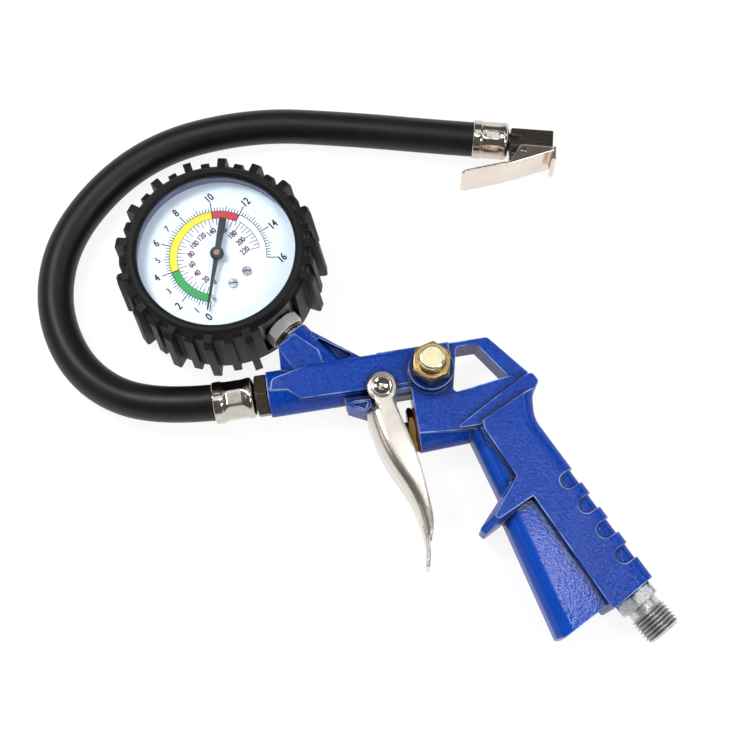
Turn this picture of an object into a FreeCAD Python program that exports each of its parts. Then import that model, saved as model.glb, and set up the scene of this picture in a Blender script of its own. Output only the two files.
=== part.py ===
"""Tyre inflator with gauge, lying on its side as on a bench.

The gun is drawn about its own middle plane with the trigger pin on the origin: X runs along the
barrel from the hose port towards the handle, Y runs up to the hang window and Z runs along the
pin. Each piece is then set down so that the handle rests on Z = 0. Sizes are in millimetres.
"""
import FreeCAD, Part
import math
import os

V = FreeCAD.Vector
X = V(1, 0, 0)
Y = V(0, 1, 0)
Z = V(0, 0, 1)

# Place of the trigger pin over the middle of the footprint
PIN_X = 1.3
PIN_Y = 2.4

# Clearances
FIT = 0.05          # radial, a shaft in its hole or a thread in its port
REST = 0.3          # pieces that come together only in use

COIL_STEPS = 12     # straight lengths in one turn of a spring

# Casting: front barrel
BARREL_RADIUS = 8.2
BARREL_Y = 6.3
PORT_X = -39.6
BARREL_REAR_X = 14.0
CHEEK_HALF = 8.6
FRAME_HALF = 8.2
BAR_HALF = 6.2
BAR_TOP_Y = 13.2
TOP_ROUND = 1.8
PASSAGE_RADIUS = 2.5
PASSAGE_END_X = 20.0

# Casting: valve barrel under the frame
VALVE_Y = -14.6
VALVE_BARREL_RADIUS = 8.4
VALVE_BARREL_END_RADIUS = 7.5
VALVE_FACE_X = 10.0
VALVE_BARREL_END_X = 31.0
CHAMBER_RADIUS = 6.5
CHAMBER_DEPTH = 24.0
CROSS_HOLE_X = 16.0
CROSS_HOLE_RADIUS = 2.0

# Casting: handle
HANDLE_HALF = 12.5
BACK_ROUND = 5.0
FRONT_TUBE_HALF = 8.8
FRONT_TUBE_ROUND = 5.5
BAND_HALF = 9.8
HOOK_BASE_HALF = 5.5
GRIP_HEEL = (78.3, -78.5)
SLAB_CORNER = (52.3, -8.2)
GRIP_NOTCHES = 4
GRIP_PITCH = 10.15
GRIP_NOTCH_WIDTH = 5.6
GRIP_NOTCH_REACH = 7.2
GRIP_NOTCH_DEPTH = 0.9

# Inlet nipple, G 1/4 male
INLET_ANGLE = -60.6
INLET_FACE = 107.0
INLET_OFFSET = 22.4
INLET_THREAD_RADIUS = 6.58
INLET_THREAD_LENGTH = 9.4
INLET_NECK_RADIUS = 5.6
INLET_NECK_LENGTH = 2.4
INLET_HEX = 14.0
INLET_HEX_LENGTH = 4.6
INLET_SHANK_RADIUS = 6.4
INLET_SHANK_LENGTH = 12.0
INLET_BORE_RADIUS = 3.5
AIRWAY_RADIUS = 3.5

# Trigger, pressed from sheet
TRIGGER_SHEET = 1.2
TRIGGER_INNER_HALF = 9.7
TRIGGER_EYE_RADIUS = 5.2
PIN_RADIUS = 2.5
PIN_HEAD_RADIUS = 3.8
PIN_HEAD_HEIGHT = 0.9
PIN_DISH_DEPTH = 0.6
LUG_RADIUS = 5.0
LUG_HALF = 9.3

# Air valve worked by the trigger
GLAND_HEX = 14.0
GLAND_HEX_LENGTH = 2.4
GLAND_NOSE_RADIUS = 3.2
GLAND_NOSE_LENGTH = 2.0
GLAND_WASHER = 0.6
GLAND_WASHER_RADIUS = 7.9
GLAND_SHANK_RADIUS = 6.45
GLAND_SHANK_LENGTH = 10.0
GLAND_BORE_RADIUS = 2.9
GLAND_PORT_RADIUS = 1.4
STEM_RADIUS = 1.5
STEM_TIP_X = -4.2
STEM_SEAL_RADIUS = 0.65
POPPET_RADIUS = 4.7
POPPET_LENGTH = 2.2
POPPET_DISC = 1.2
VALVE_SPRING_WIRE = 0.8
VALVE_SPRING_RADIUS = 3.9
VALVE_SPRING_TURNS = 5

# Bleed valve
BLEED_X = 17.8
BLEED_Y = 3.5
BLEED_BOSS_RADIUS = 8.0
BLEED_BOSS_TOP = 12.6
BLEED_HEX = 12.4
BLEED_HEX_LENGTH = 8.3
BLEED_SHANK_RADIUS = 4.45
BLEED_SHANK_LENGTH = 7.5
BLEED_FLOOR = 1.0
BLEED_VENT_RADIUS = 2.1
BLEED_SPRING_FLOOR = 1.6
BUTTON_RADIUS = 4.55
BUTTON_RISE = 4.2
BUTTON_HEAD = 6.7
BUTTON_STEM_RADIUS = 1.4
BUTTON_TRAVEL = 2.0
BLEED_SEAL_RADIUS = 2.9
BLEED_SEAL_THICK = 1.0
BLEED_SPRING_WIRE = 0.45
BLEED_SPRING_RADIUS = 3.7
BLEED_SPRING_TURNS = 4

# Gauge, nominal size 63
GAUGE_ANGLE = 125.0
BOSS_ROOT_X = -14.7
BOSS_LENGTH = 24.0
BOSS_FACE_RADIUS = 6.5
WING_HALF = 7.0
BOSS_ROOT_RADIUS = 7.0
CASE_RADIUS = 31.0
CASE_WALL = 1.2
SOCKET_HEX = 12.5
SOCKET_HEX_LENGTH = 4.4
SOCKET_WASHER = 2.2
SOCKET_WASHER_RADIUS = 6.2
SOCKET_THREAD_RADIUS = 4.86
SOCKET_THREAD_LENGTH = 9.0
SOCKET_GAP = 0.2
GAUGE_REACH = CASE_RADIUS + SOCKET_GAP + SOCKET_HEX_LENGTH + SOCKET_WASHER
BLOCK_LENGTH = 11.0
BLOCK_END = CASE_RADIUS - CASE_WALL - 1.8
BLOCK_START = BLOCK_END - BLOCK_LENGTH
CASE_BACK = -10.0
CASE_FRONT = 16.4
WINDOW_RADIUS = CASE_RADIUS - 3.0
LENS_TOP = 17.6
LENS_THICK = 1.6
LENS_WALL = 1.1
DIAL_TOP = 10.6
DIAL_THICK = 0.6
BOOT_BACK = -12.5
BOOT_FRONT = 19.0
BOOT_RADIUS = CASE_RADIUS + 2.0
BOOT_LIP_RADIUS = CASE_RADIUS + 0.6
BOOT_BACK_OPENING = CASE_RADIUS - 9.0
BOOT_RIBS = 32
RIB_WIDTH = 2.9
RIB_PITCH = 11.075
RIB_START = 279.8
RIB_CROWDING = 3.5
RIB_CROWDED_SIDE = 65.0
RIB_TALL_RADIUS = CASE_RADIUS + 5.3
RIB_SHORT_RADIUS = CASE_RADIUS + 3.6
RIB_GROWTH = 1.7

# Gauge movement
POINTER_REST_ANGLE = 254.0
POINTER_LENGTH = 21.8
STOP_REACH = POINTER_LENGTH - 5.6
POINTER_TAIL = 13.8
POINTER_Z = 13.2
POINTER_THICK = 0.4
POINTER_HUB_RADIUS = 2.4
POINTER_HUB_TOP = 14.6
SHAFT_RADIUS = 1.0
GEAR_MODULE = 0.35
PINION_TEETH = 12
SECTOR_FULL_TEETH = 72
SECTOR_TEETH = 15
GEAR_THICK = 1.4
SECTOR_SWING = 44.0
PLATE_THICK = 1.0
PLATE_LOW = -3.4
PLATE_HIGH = 5.6
BOURDON_RADIUS = CASE_RADIUS - 7.0
BOURDON_START = 318.3
BOURDON_END = 576.0
LINK_REACH = BOURDON_RADIUS - 6.0
LINK_LENGTH = BOURDON_RADIUS - 17.5

# Hose and its fittings
HOSE_RADIUS = 6.5
HOSE_BORE_RADIUS = 3.6
HOSE_LIFT = 6.6
ADAPTOR_HEX = 14.0
ADAPTOR_HEX_LENGTH = 4.5
ADAPTOR_SHANK_RADIUS = 5.5
ADAPTOR_SHANK_LENGTH = 11.0
ADAPTOR_NECK_LENGTH = 0.5
BARB_RADIUS = 3.5
BARB_BORE_RADIUS = 2.0
BARB_LENGTH = 12.0
FERRULE_RADIUS = 7.5
FERRULE_LENGTH = 14.5
FERRULE_FLATS = 8
FERRULE_SKIN = 0.2
FAR_FERRULE_RADIUS = 7.2
FAR_FERRULE_LENGTH = 13.8
FERRULE_END = 1.6

# Clip-on chuck, lying on its side
CHUCK_X = 63.6
CHUCK_Y = 91.7
CHUCK_LIFT = 7.6
CHUCK_ANGLE = -14.0
CHUCK_ROLL = -8.0
CHUCK_LENGTH = 15.9
CHUCK_HALF_WIDTH = 4.9
CHUCK_HALF_HEIGHT = 4.4
CHUCK_MOUTH_Y = -0.9
CHUCK_MOUTH_RADIUS = 3.95
CHUCK_MOUTH_DEPTH = 6.0
CHUCK_SEAL_LENGTH = 3.0
CHUCK_SEAL_RADIUS = 3.5
CHUCK_SEAL_BORE = 2.6
CHUCK_PIN_RADIUS = 1.1
CHUCK_PIN_X = 5.1
CHUCK_PIN_Y = -7.0
CHUCK_LUG_RADIUS = 2.3
CHUCK_SPRING_X = 1.9
CHUCK_SPRING_RADIUS = 1.65
CHUCK_SPRING_WIRE = 0.5
CHUCK_SPRING_TURNS = 6
CHUCK_SPRING_LENGTH = 5.5
LEVER_SHEET = 0.9
LEVER_HALF_WIDTH = 6.2
LEVER_THUMB_HALF = 6.6
LEVER_THUMB = (-17.4, -19.4)
LEVER_BEND = (1.0, -13.3)
LEVER_END = (16.3, -6.4)
JAW_GAP = 0.3
JAW_NOTCH_RADIUS = 4.4

MID_Z = HANDLE_HALF


def across(point, direction, distance):
    """A point moved by a distance along a direction."""
    return point + direction * distance


def polygon(points, z=0.0):
    """A closed straight-sided wire at one height."""
    corners = [V(x, y, z) for x, y in points]
    return Part.makePolygon(corners + corners[:1])


def rounded(points, radii, z=0.0):
    """A closed wire whose corners are arcs, one radius for each point, 0 for a sharp one."""
    count = len(points)
    corners = [V(x, y, z) for x, y in points]
    joins = []
    for i, corner in enumerate(corners):
        before = (corners[i - 1] - corner).normalize()
        after = (corners[(i + 1) % count] - corner).normalize()
        half = before.getAngle(after) / 2
        reach = radii[i] / math.tan(half)
        centre = across(corner, (before + after).normalize(), radii[i] / math.sin(half))
        middle = across(centre, (corner - centre).normalize(), radii[i]) if radii[i] else corner
        joins.append((across(corner, before, reach), middle, across(corner, after, reach)))
    edges = []
    for i, (start, middle, end) in enumerate(joins):
        if radii[i]:
            edges.append(Part.Arc(start, middle, end).toShape())
        edges.append(Part.LineSegment(end, joins[(i + 1) % count][0]).toShape())
    return Part.Wire(edges)


def plate(wire, half):
    """A prism from a flat wire, as thick on each side of the middle plane."""
    face = Part.Face(wire)
    face.translate(V(0, 0, -half))
    return face.extrude(V(0, 0, 2 * half))


def turned(profile, origin=V(0, 0, 0), axis=X):
    """A turned piece: a closed outline of (distance along the axis, radius) points."""
    corners = [V(d, r, 0) for d, r in profile]
    face = Part.Face(Part.makePolygon(corners + corners[:1]))
    solid = face.revolve(V(0, 0, 0), X, 360)
    solid.Placement = FreeCAD.Placement(origin, FreeCAD.Rotation(X, axis))
    return solid


def rod(radius, start, end):
    """A plain round bar between two points."""
    return Part.makeCylinder(radius, (end - start).Length, start, end - start)


def hexagon(flats, length, origin, axis, turn=0.0):
    """A hexagon bar whose corners are eased at both ends, as machined hexagons are."""
    corner = flats / math.sqrt(3)
    points = [V(0, corner * math.cos(math.radians(60 * i + turn)),
                corner * math.sin(math.radians(60 * i + turn))) for i in range(7)]
    bar = Part.Face(Part.makePolygon(points)).extrude(V(length, 0, 0))
    ease = corner - flats / 2
    cone = turned([(0, 0), (0, flats / 2), (ease * 0.6, corner), (length - ease * 0.6, corner),
                   (length, flats / 2), (length, 0)])
    bar = bar.common(cone)
    bar.Placement = FreeCAD.Placement(origin, FreeCAD.Rotation(X, axis))
    return bar


def coil(radius, wire, length, turns, origin, axis):
    """A compression spring with closed ends, its wire drawn six-sided."""
    rise = length - wire - 0.02
    closed = 0.6
    sections = []
    count = int(turns * COIL_STEPS)
    for i in range(count + 1):
        turn = turns * i / count
        share = (min(max(turn - closed, 0), turns - 2 * closed)) / (turns - 2 * closed)
        height = wire / 2 + rise * share
        out = V(math.cos(2 * math.pi * turn), math.sin(2 * math.pi * turn), 0)
        centre = out * radius + Z * height
        ring = [centre + out * (wire / 2 * math.cos(math.pi * k / 3))
                + Z * (wire / 2 * math.sin(math.pi * k / 3)) for k in range(7)]
        sections.append(Part.makePolygon(ring))
    spring = Part.makeLoft(sections, True, True)
    spring.Placement = FreeCAD.Placement(origin, FreeCAD.Rotation(Z, axis))
    return spring


def edges_at(shape, z, keep):
    """Edges that lie wholly at one height and whose middle passes a test."""
    found = []
    for edge in shape.Edges:
        box = edge.BoundBox
        if abs(box.ZMin - z) < 1e-4 and abs(box.ZMax - z) < 1e-4:
            middle = edge.valueAt((edge.FirstParameter + edge.LastParameter) / 2)
            if keep(middle):
                found.append(edge)
    return found


# Directions of the handle's air inlet and of the gauge
INLET = V(math.cos(math.radians(INLET_ANGLE)), math.sin(math.radians(INLET_ANGLE)), 0)
INLET_SIDE = V(-INLET.y, INLET.x, 0)
INLET_POINT = INLET * INLET_FACE + INLET_SIDE * INLET_OFFSET
GAUGE = V(math.cos(math.radians(GAUGE_ANGLE)), math.sin(math.radians(GAUGE_ANGLE)), 0)
BOSS_ROOT = V(BOSS_ROOT_X, BARREL_Y, 0)
BOSS_FACE = across(BOSS_ROOT, GAUGE, BOSS_LENGTH)
GAUGE_CENTRE = across(BOSS_FACE, GAUGE, GAUGE_REACH)


# The casting
def grip(inset):
    """The main slab, its back rounded for the palm; inset draws every face inwards."""
    points = [(31.8, 2.0), (58.0, 2.0), (51.0, -11.0), (50.1, -19.0), GRIP_HEEL, (62.7, -87.4),
              (44.6, -47.4), (39.6, -38.1), (32.0, -20.6)]
    half = HANDLE_HALF - inset
    wire = rounded(points, [0, 0, 8.0, 12.0, 0, 1.2, 1.2, 2.0, 1.5])
    if inset:
        wire = wire.makeOffset2D(-inset)
    slab = plate(wire, half)
    back = [e for z in (half, -half) for e in edges_at(slab, z, on_back)]
    above = polygon([(20.0, -23.5), SLAB_CORNER, (62.0, -3.6), (62.0, 10.0), (20.0, 10.0)])
    return slab.makeFillet(BACK_ROUND - inset, back).cut(plate(above, HANDLE_HALF + 1))


def on_back(point):
    """True along the palm side of the handle below the beak."""
    return point.x > 49.5 and point.y > GRIP_HEEL[1] and point.dot(INLET_SIDE) > 27


def grip_notches():
    """Finger grooves let into the rounded back: shallow pockets of even depth."""
    start = V(58.8, -37.4, 0)
    down = (V(GRIP_HEEL[0], GRIP_HEEL[1], 0) - start).normalize()
    inward = V(down.y, -down.x, 0)
    reach = GRIP_NOTCH_WIDTH / 2
    tools = []
    for i in range(GRIP_NOTCHES):
        top = across(start, down, 1.2 + i * GRIP_PITCH)
        middle = across(across(top, down, reach), inward, GRIP_NOTCH_REACH - reach)
        corners = [across(top, inward, -3), across(across(top, down, 2 * reach), inward, -3),
                   across(middle, down, reach), across(middle, down, -reach)]
        tools.append(plate(Part.makePolygon(corners + corners[:1]), HANDLE_HALF + 1))
        tools.append(rod(reach, middle - Z * (HANDLE_HALF + 1), middle + Z * (HANDLE_HALF + 1)))
    return tools[0].multiFuse(tools[1:])


def hook():
    """The finger hook in front of the handle, drawn in towards its two faces."""
    low = [(41.0, -36.0), (25.0, -53.6), (26.6, -55.6), (45.5, -45.6)]
    high = [(40.0, -38.4), (30.0, -51.0), (31.6, -51.9), (44.0, -46.2)]
    halves = []
    for side in (1, -1):
        base = rounded(low, [0.5, 0.9, 0.9, 0.5], 0)
        shoulder = rounded(low, [0.5, 0.9, 0.9, 0.5], side * HOOK_BASE_HALF)
        face = rounded(high, [0.5, 0.7, 0.7, 0.5], side * HANDLE_HALF)
        halves.append(Part.makeLoft([base, shoulder, face], True, True))
    return halves[0].fuse(halves[1])


def front_tube():
    """The slimmer rounded tube in front of the slab, above and below the hook."""
    lengths = []
    for points in ([(26.9, -18.6), (34.5, -46.4), (42.0, -46.4), (42.0, -18.6)],
                   [(33.1, -49.6), (43.7, -93.4), (46.3, -93.4), (63.0, -84.6), (46.0, -46.0)]):
        length = plate(polygon(points), FRONT_TUBE_HALF)
        middle = (V(*points[0], 0) + V(*points[1], 0)) * 0.5
        front = []
        for side in (1, -1):
            front += edges_at(length, side * FRONT_TUBE_HALF,
                              lambda p: math.hypot(p.x - middle.x, p.y - middle.y) < 1)
        lengths.append(length.makeFillet(FRONT_TUBE_ROUND, front))
    return lengths


def frame():
    """The flat frame over the valve, with the hang window and its two bars."""
    bars = rounded([(0, -1.4), (VALVE_FACE_X, -1.4), (VALVE_FACE_X, VALVE_Y), (30, -18.4),
                    (51.0, -6.0), (51.4, -1.7), (39.6, BAR_TOP_Y), (0, BAR_TOP_Y)],
                   [0, 0, 0, 0, 0, 0.5, 1.5, 0])
    flat = rounded([(0, -1.4), (VALVE_FACE_X, -1.4), (VALVE_FACE_X, -17.8), (21.9, -18.8),
                    (30.0, -19.4), (49.0, -6.0), (45.0, -2.6), (24.6, -4.6),
                    (25.6, BAR_TOP_Y - 0.2), (0, BAR_TOP_Y - 0.2)],
                   [0, 0, 0, 0, 0, 0, 0, 1.0, 0, 0])
    band = rounded([(22.4, -18.6), (49.4, -3.6), (52.2, -2.9), (54.0, -6.4), (50.9, -10.9),
                    (49.0, -13.5), (46.0, -18.0), (31.8, -18.6)],
                   [0.6, 1.0, 1.6, 1.6, 4.0, 0, 0, 0])
    window = rounded([(28.2, 11.3), (35.3, 11.3), (44.4, -2.2), (42.4, -2.9), (25.4, -5.4),
                      (24.4, -4.2), (26.0, 2.2)], [1.0, 1.0, 0.6, 0.6, 0.8, 0.6, 0])
    body = plate(bars, BAR_HALF).fuse(plate(flat, FRAME_HALF)).fuse(plate(band, BAND_HALF))
    return body.cut(plate(window, HANDLE_HALF))


def barrels():
    """Front barrel with its flat cheeks, and the valve barrel below the frame."""
    front = rod(BARREL_RADIUS, V(PORT_X, BARREL_Y, 0), V(BARREL_REAR_X, BARREL_Y, 0))
    cheek = rounded([(PORT_X + 1, 5.4), (-32.5, 4.7), (-28.4, 0.8), (BARREL_REAR_X, 0.2),
                     (BARREL_REAR_X, BAR_TOP_Y - 0.2), (-22.0, BAR_TOP_Y - 0.2), (-37.5, 9.5)],
                    [0, 1.0, 1.0, 0, 0, 0, 2.0])
    valve = Part.makeCone(VALVE_BARREL_RADIUS, VALVE_BARREL_END_RADIUS,
                          VALVE_BARREL_END_X - VALVE_FACE_X, V(VALVE_FACE_X, VALVE_Y, 0), X)
    top = plate(polygon([(-30, 9), (BARREL_REAR_X, 9), (BARREL_REAR_X, BAR_TOP_Y),
                         (-24, BAR_TOP_Y)]), BAR_HALF)
    slab = plate(cheek, CHEEK_HALF)
    ledge = [e for z in (CHEEK_HALF, -CHEEK_HALF)
             for e in edges_at(slab, z, lambda p: p.y > BAR_TOP_Y - 0.3)]
    return [front, slab.makeFillet(TOP_ROUND, ledge), valve, top]


def gauge_boss():
    """Tapered boss for the gauge, a wing to the port and a webbed gusset to the barrel's top."""
    boss = Part.makeCone(BOSS_ROOT_RADIUS, BOSS_FACE_RADIUS, BOSS_LENGTH, BOSS_ROOT, GAUGE)
    boss = boss.common(Part.makeBox(80, 80, 2 * CHEEK_HALF, V(-60, BARREL_Y, -CHEEK_HALF)))
    rim = polygon([(-21.6, 26.2), (-5.2, BAR_TOP_Y + 0.2), (-24, 10)])
    gusset = plate(rim, 4.6)
    panel = rounded([(-19.8, 23.4), (-7.6, 14.6), (-14.6, 12.9), (-20.2, 18.0)],
                    [0.6, 0.8, 0.6, 0])
    for side in (1, -1):
        pocket = plate(panel, 2.2)
        pocket.translate(V(0, 0, side * 4.6))
        gusset = gusset.cut(pocket)
    return [boss, wing(), gusset]


def wing():
    """Web from the port to the boss, its faces sloping down to the outer edge."""
    outer = V(-34.6, 9.0, 0)
    slopes = Part.Face(Part.makePolygon([
        V(x, 0, z) for x, z in ((0, -3.0), (6.2, -WING_HALF), (30, -WING_HALF), (30, WING_HALF),
                                (6.2, WING_HALF), (0, 3.0), (0, -3.0))])).extrude(Y * 40)
    slopes.translate(Y * -10)
    slopes.Placement = FreeCAD.Placement(outer, FreeCAD.Rotation(Z, 27)).multiply(slopes.Placement)
    plan = polygon([(-34.4, 9), (-33.6, 21.4), (-27.4, 25.2), (-20, 18), (-18, 9)])
    return plate(plan, WING_HALF).common(slopes)


def lugs():
    """Round lug for the trigger pin and the pointed stop under the barrel."""
    lug = Part.makeCylinder(LUG_RADIUS, 2 * LUG_HALF, V(0, 0, -LUG_HALF))
    root = polygon([(-13.4, 1.0), (-13.4, -3.0), (-6.6, -6.4), (-4.4, -2.0), (-4.4, 1.0)])
    face = rounded([(-14.2, -3.2), (-6.6, -7.0), (-4.4, -5.4), (-4.4, -2.8), (-9.4, -2.5)],
                   [0.5, 0.5, 0, 0, 0])
    stop = plate(face, 6.8).fuse(plate(root, 4.4))
    panel = rounded([(-11.9, -3.5), (-6.6, -6.0), (-5.6, -3.5)], [0.4, 0.4, 0.4])
    for side in (1, -1):
        pocket = plate(panel, 0.8)
        pocket.translate(V(0, 0, side * 6.8))
        stop = stop.cut(pocket)
    bleed = Part.makeCylinder(BLEED_BOSS_RADIUS, BLEED_BOSS_TOP, V(BLEED_X, BLEED_Y, 0))
    return [lug, stop, bleed]


def airways():
    """Every hole that is drilled or cored in the casting."""
    chamber_end = V(VALVE_FACE_X + CHAMBER_DEPTH, VALVE_Y, 0)
    inlet_top = across(INLET_POINT, INLET, -INLET_SHANK_LENGTH)
    run = (inlet_top.y - chamber_end.y) / INLET.y
    meet = across(inlet_top, INLET, -run)
    passage = V(0, BARREL_Y, 0)
    return [
        rod(ADAPTOR_SHANK_RADIUS + FIT, V(PORT_X - 1, BARREL_Y, 0),
            V(PORT_X + ADAPTOR_SHANK_LENGTH + 0.5, BARREL_Y, 0)),
        rod(PASSAGE_RADIUS, passage + X * (PORT_X + 5), passage + X * PASSAGE_END_X),
        rod(CHAMBER_RADIUS, V(VALVE_FACE_X - 1, VALVE_Y, 0), chamber_end),
        rod(CROSS_HOLE_RADIUS, V(CROSS_HOLE_X, VALVE_Y, 0), V(CROSS_HOLE_X, BARREL_Y, 0)),
        rod(AIRWAY_RADIUS, meet, inlet_top),
        rod(INLET_SHANK_RADIUS + FIT, inlet_top, across(INLET_POINT, INLET, 2)),
        rod(SOCKET_THREAD_RADIUS + FIT, across(BOSS_FACE, GAUGE, -SOCKET_THREAD_LENGTH - 0.5),
            across(BOSS_FACE, GAUGE, 2)),
        rod(1.5, BOSS_ROOT, BOSS_FACE),
        rod(BLEED_SHANK_RADIUS + FIT, V(BLEED_X, BLEED_Y, BLEED_FLOOR),
            V(BLEED_X, BLEED_Y, BLEED_BOSS_TOP + 1)),
        rod(1.5, V(BLEED_X, BLEED_Y, 0), V(BLEED_X, BLEED_Y, BLEED_FLOOR + 1)),
        rod(PIN_RADIUS + FIT, V(0, 0, -LUG_HALF - 1), V(0, 0, LUG_HALF + 1)),
    ]


def gun_body():
    """The one-piece casting."""
    slab = grip(0).cut(grip_notches().cut(grip(GRIP_NOTCH_DEPTH)))
    solids = [hook(), frame()] + front_tube() + barrels() + gauge_boss() + lugs()
    body = slab.multiFuse(solids)
    for hole in airways():
        body = body.cut(hole)
    return body


# The pieces round the casting
def inlet_nipple():
    """Turned steel nipple: plain shank, hexagon, relief and the male thread."""
    back = across(INLET_POINT, INLET, -INLET_SHANK_LENGTH)
    hex_end = INLET_SHANK_LENGTH + INLET_HEX_LENGTH
    neck_end = hex_end + INLET_NECK_LENGTH
    tip = neck_end + INLET_THREAD_LENGTH
    stem = turned([
        (0, INLET_BORE_RADIUS), (0, INLET_SHANK_RADIUS), (hex_end - 1, INLET_SHANK_RADIUS),
        (hex_end - 1, INLET_NECK_RADIUS), (neck_end, INLET_NECK_RADIUS),
        (neck_end + 0.7, INLET_THREAD_RADIUS), (tip - 0.9, INLET_THREAD_RADIUS),
        (tip, INLET_THREAD_RADIUS - 0.9), (tip, INLET_BORE_RADIUS)], back, INLET)
    nut = hexagon(INLET_HEX, INLET_HEX_LENGTH, INLET_POINT, INLET, 15)
    bore = rod(INLET_BORE_RADIUS, across(INLET_POINT, INLET, -1), across(INLET_POINT, INLET, 9))
    return stem.fuse(nut.cut(bore)).removeSplitter()


def trigger_section(y, front, back, half, bend):
    """One U-shaped section of the trigger at a height y, bend being its outer radius."""
    t = TRIGGER_SHEET
    inner = bend - t
    outer = [V(back, y, half), V(front + bend, y, half), V(front, y, half - bend),
             V(front, y, bend - half), V(front + bend, y, -half), V(back, y, -half)]
    within = [V(back, y, t - half), V(front + bend, y, t - half), V(front + t, y, bend - half),
              V(front + t, y, half - bend), V(front + bend, y, half - t), V(back, y, half - t)]
    slant = math.sqrt(0.5)
    mid_out = [V(front + bend - bend * slant, y, s * (half - bend + bend * slant))
               for s in (1, -1)]
    mid_in = [V(front + bend - inner * slant, y, s * (half - bend + inner * slant))
              for s in (1, -1)]
    return Part.Wire([
        Part.LineSegment(outer[0], outer[1]).toShape(),
        Part.Arc(outer[1], mid_out[0], outer[2]).toShape(),
        Part.LineSegment(outer[2], outer[3]).toShape(),
        Part.Arc(outer[3], mid_out[1], outer[4]).toShape(),
        Part.LineSegment(outer[4], outer[5]).toShape(),
        Part.LineSegment(outer[5], within[0]).toShape(),
        Part.LineSegment(within[0], within[1]).toShape(),
        Part.Arc(within[1], mid_in[1], within[2]).toShape(),
        Part.LineSegment(within[2], within[3]).toShape(),
        Part.Arc(within[3], mid_in[0], within[4]).toShape(),
        Part.LineSegment(within[4], within[5]).toShape(),
        Part.LineSegment(within[5], outer[0]).toShape()])


def trigger():
    """Pressed steel trigger: two eyes, a channel that narrows, and a flat curled tip."""
    wide = TRIGGER_INNER_HALF + TRIGGER_SHEET
    sections = [trigger_section(*row) for row in (
        (-7.6, -6.6, 3.9, wide, 4.6), (-13.0, -6.0, 5.2, wide, 4.6),
        (-18.1, -5.0, 6.5, wide, 4.6), (-28.8, -1.4, 8.6, wide - 0.5, 4.4),
        (-37.2, 2.6, 9.4, wide - 1.2, 3.8), (-44.0, 4.9, 9.9, wide - 1.9, 3.0),
        (-49.0, 5.8, 9.8, wide - 2.5, 2.4), (-53.0, 6.2, 8.8, wide - 3.0, 1.9))]
    channel = Part.makeLoft(sections, True, False)
    tip = rounded([(5.9, -49.5), (6.3, -53.5), (6.1, -58.0), (5.0, -63.2), (6.15, -63.5),
                   (7.35, -58.2), (7.5, -53.5), (7.1, -49.5)],
                  [0, 20, 20, 0.3, 0.3, 20, 20, 0])
    pieces = [channel, plate(tip, wide - 3.6)]
    for side in (1, -1):
        middle = side * (TRIGGER_INNER_HALF + TRIGGER_SHEET / 2)
        eye = Part.makeCylinder(TRIGGER_EYE_RADIUS, TRIGGER_SHEET,
                                V(0, 0, middle - TRIGGER_SHEET / 2))
        neck = plate(rounded([(-3.2, -1.0), (-3.2, -5.2), (-2.0, -7.6), (3.9, -7.6),
                              (3.2, -4.6), (3.2, -1.0)], [0, 1.2, 0, 0, 4.0, 0]),
                     TRIGGER_SHEET / 2)
        neck.translate(V(0, 0, middle))
        pieces += [eye, neck]
    hole = rod(PIN_RADIUS + FIT, V(0, 0, -wide - 1), V(0, 0, wide + 1))
    return pieces[0].multiFuse(pieces[1:]).cut(hole).removeSplitter()


def trigger_pin():
    """Rivet through the lug, with a dished head over each eye."""
    reach = TRIGGER_INNER_HALF + TRIGGER_SHEET + FIT
    top = reach + PIN_HEAD_HEIGHT
    dish = top - PIN_DISH_DEPTH
    return turned([
        (-dish, 0), (-top, PIN_HEAD_RADIUS - 0.9), (-top, PIN_HEAD_RADIUS - 0.4),
        (-reach - 0.3, PIN_HEAD_RADIUS), (-reach, PIN_HEAD_RADIUS), (-reach, PIN_RADIUS),
        (reach, PIN_RADIUS), (reach, PIN_HEAD_RADIUS), (reach + 0.3, PIN_HEAD_RADIUS),
        (top, PIN_HEAD_RADIUS - 0.4), (top, PIN_HEAD_RADIUS - 0.9), (dish, 0)], axis=Z)


def on_valve(x):
    """A point on the valve's axis."""
    return V(x, VALVE_Y, 0)


def valve_gland():
    """Brass gland: nose, hexagon and a hollow shank whose far end is the valve seat."""
    hex_left = VALVE_FACE_X - GLAND_WASHER - GLAND_HEX_LENGTH
    nose_left = hex_left - GLAND_NOSE_LENGTH
    shank_end = VALVE_FACE_X + GLAND_SHANK_LENGTH
    body = turned([
        (nose_left, STEM_RADIUS + FIT), (nose_left, GLAND_NOSE_RADIUS - 0.4),
        (nose_left + 0.4, GLAND_NOSE_RADIUS), (hex_left + 0.5, GLAND_NOSE_RADIUS),
        (hex_left + 0.5, GLAND_SHANK_RADIUS), (shank_end, GLAND_SHANK_RADIUS),
        (shank_end, GLAND_BORE_RADIUS), (VALVE_FACE_X, GLAND_BORE_RADIUS),
        (VALVE_FACE_X, STEM_RADIUS + FIT)], on_valve(0))
    nut = hexagon(GLAND_HEX, GLAND_HEX_LENGTH, on_valve(hex_left), X, 10)
    nut = nut.cut(rod(STEM_RADIUS + FIT, on_valve(nose_left), on_valve(VALVE_FACE_X)))
    ports = rod(GLAND_PORT_RADIUS, on_valve(CROSS_HOLE_X) - Y * 10, on_valve(CROSS_HOLE_X) + Y * 10)
    return body.fuse(nut).cut(ports).removeSplitter()


def gland_washer():
    """Sealing washer between the gland's hexagon and the casting."""
    left = VALVE_FACE_X - GLAND_WASHER
    return turned([(left, GLAND_SHANK_RADIUS + FIT), (left, GLAND_WASHER_RADIUS),
                   (VALVE_FACE_X, GLAND_WASHER_RADIUS),
                   (VALVE_FACE_X, GLAND_SHANK_RADIUS + FIT)], on_valve(0))


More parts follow.
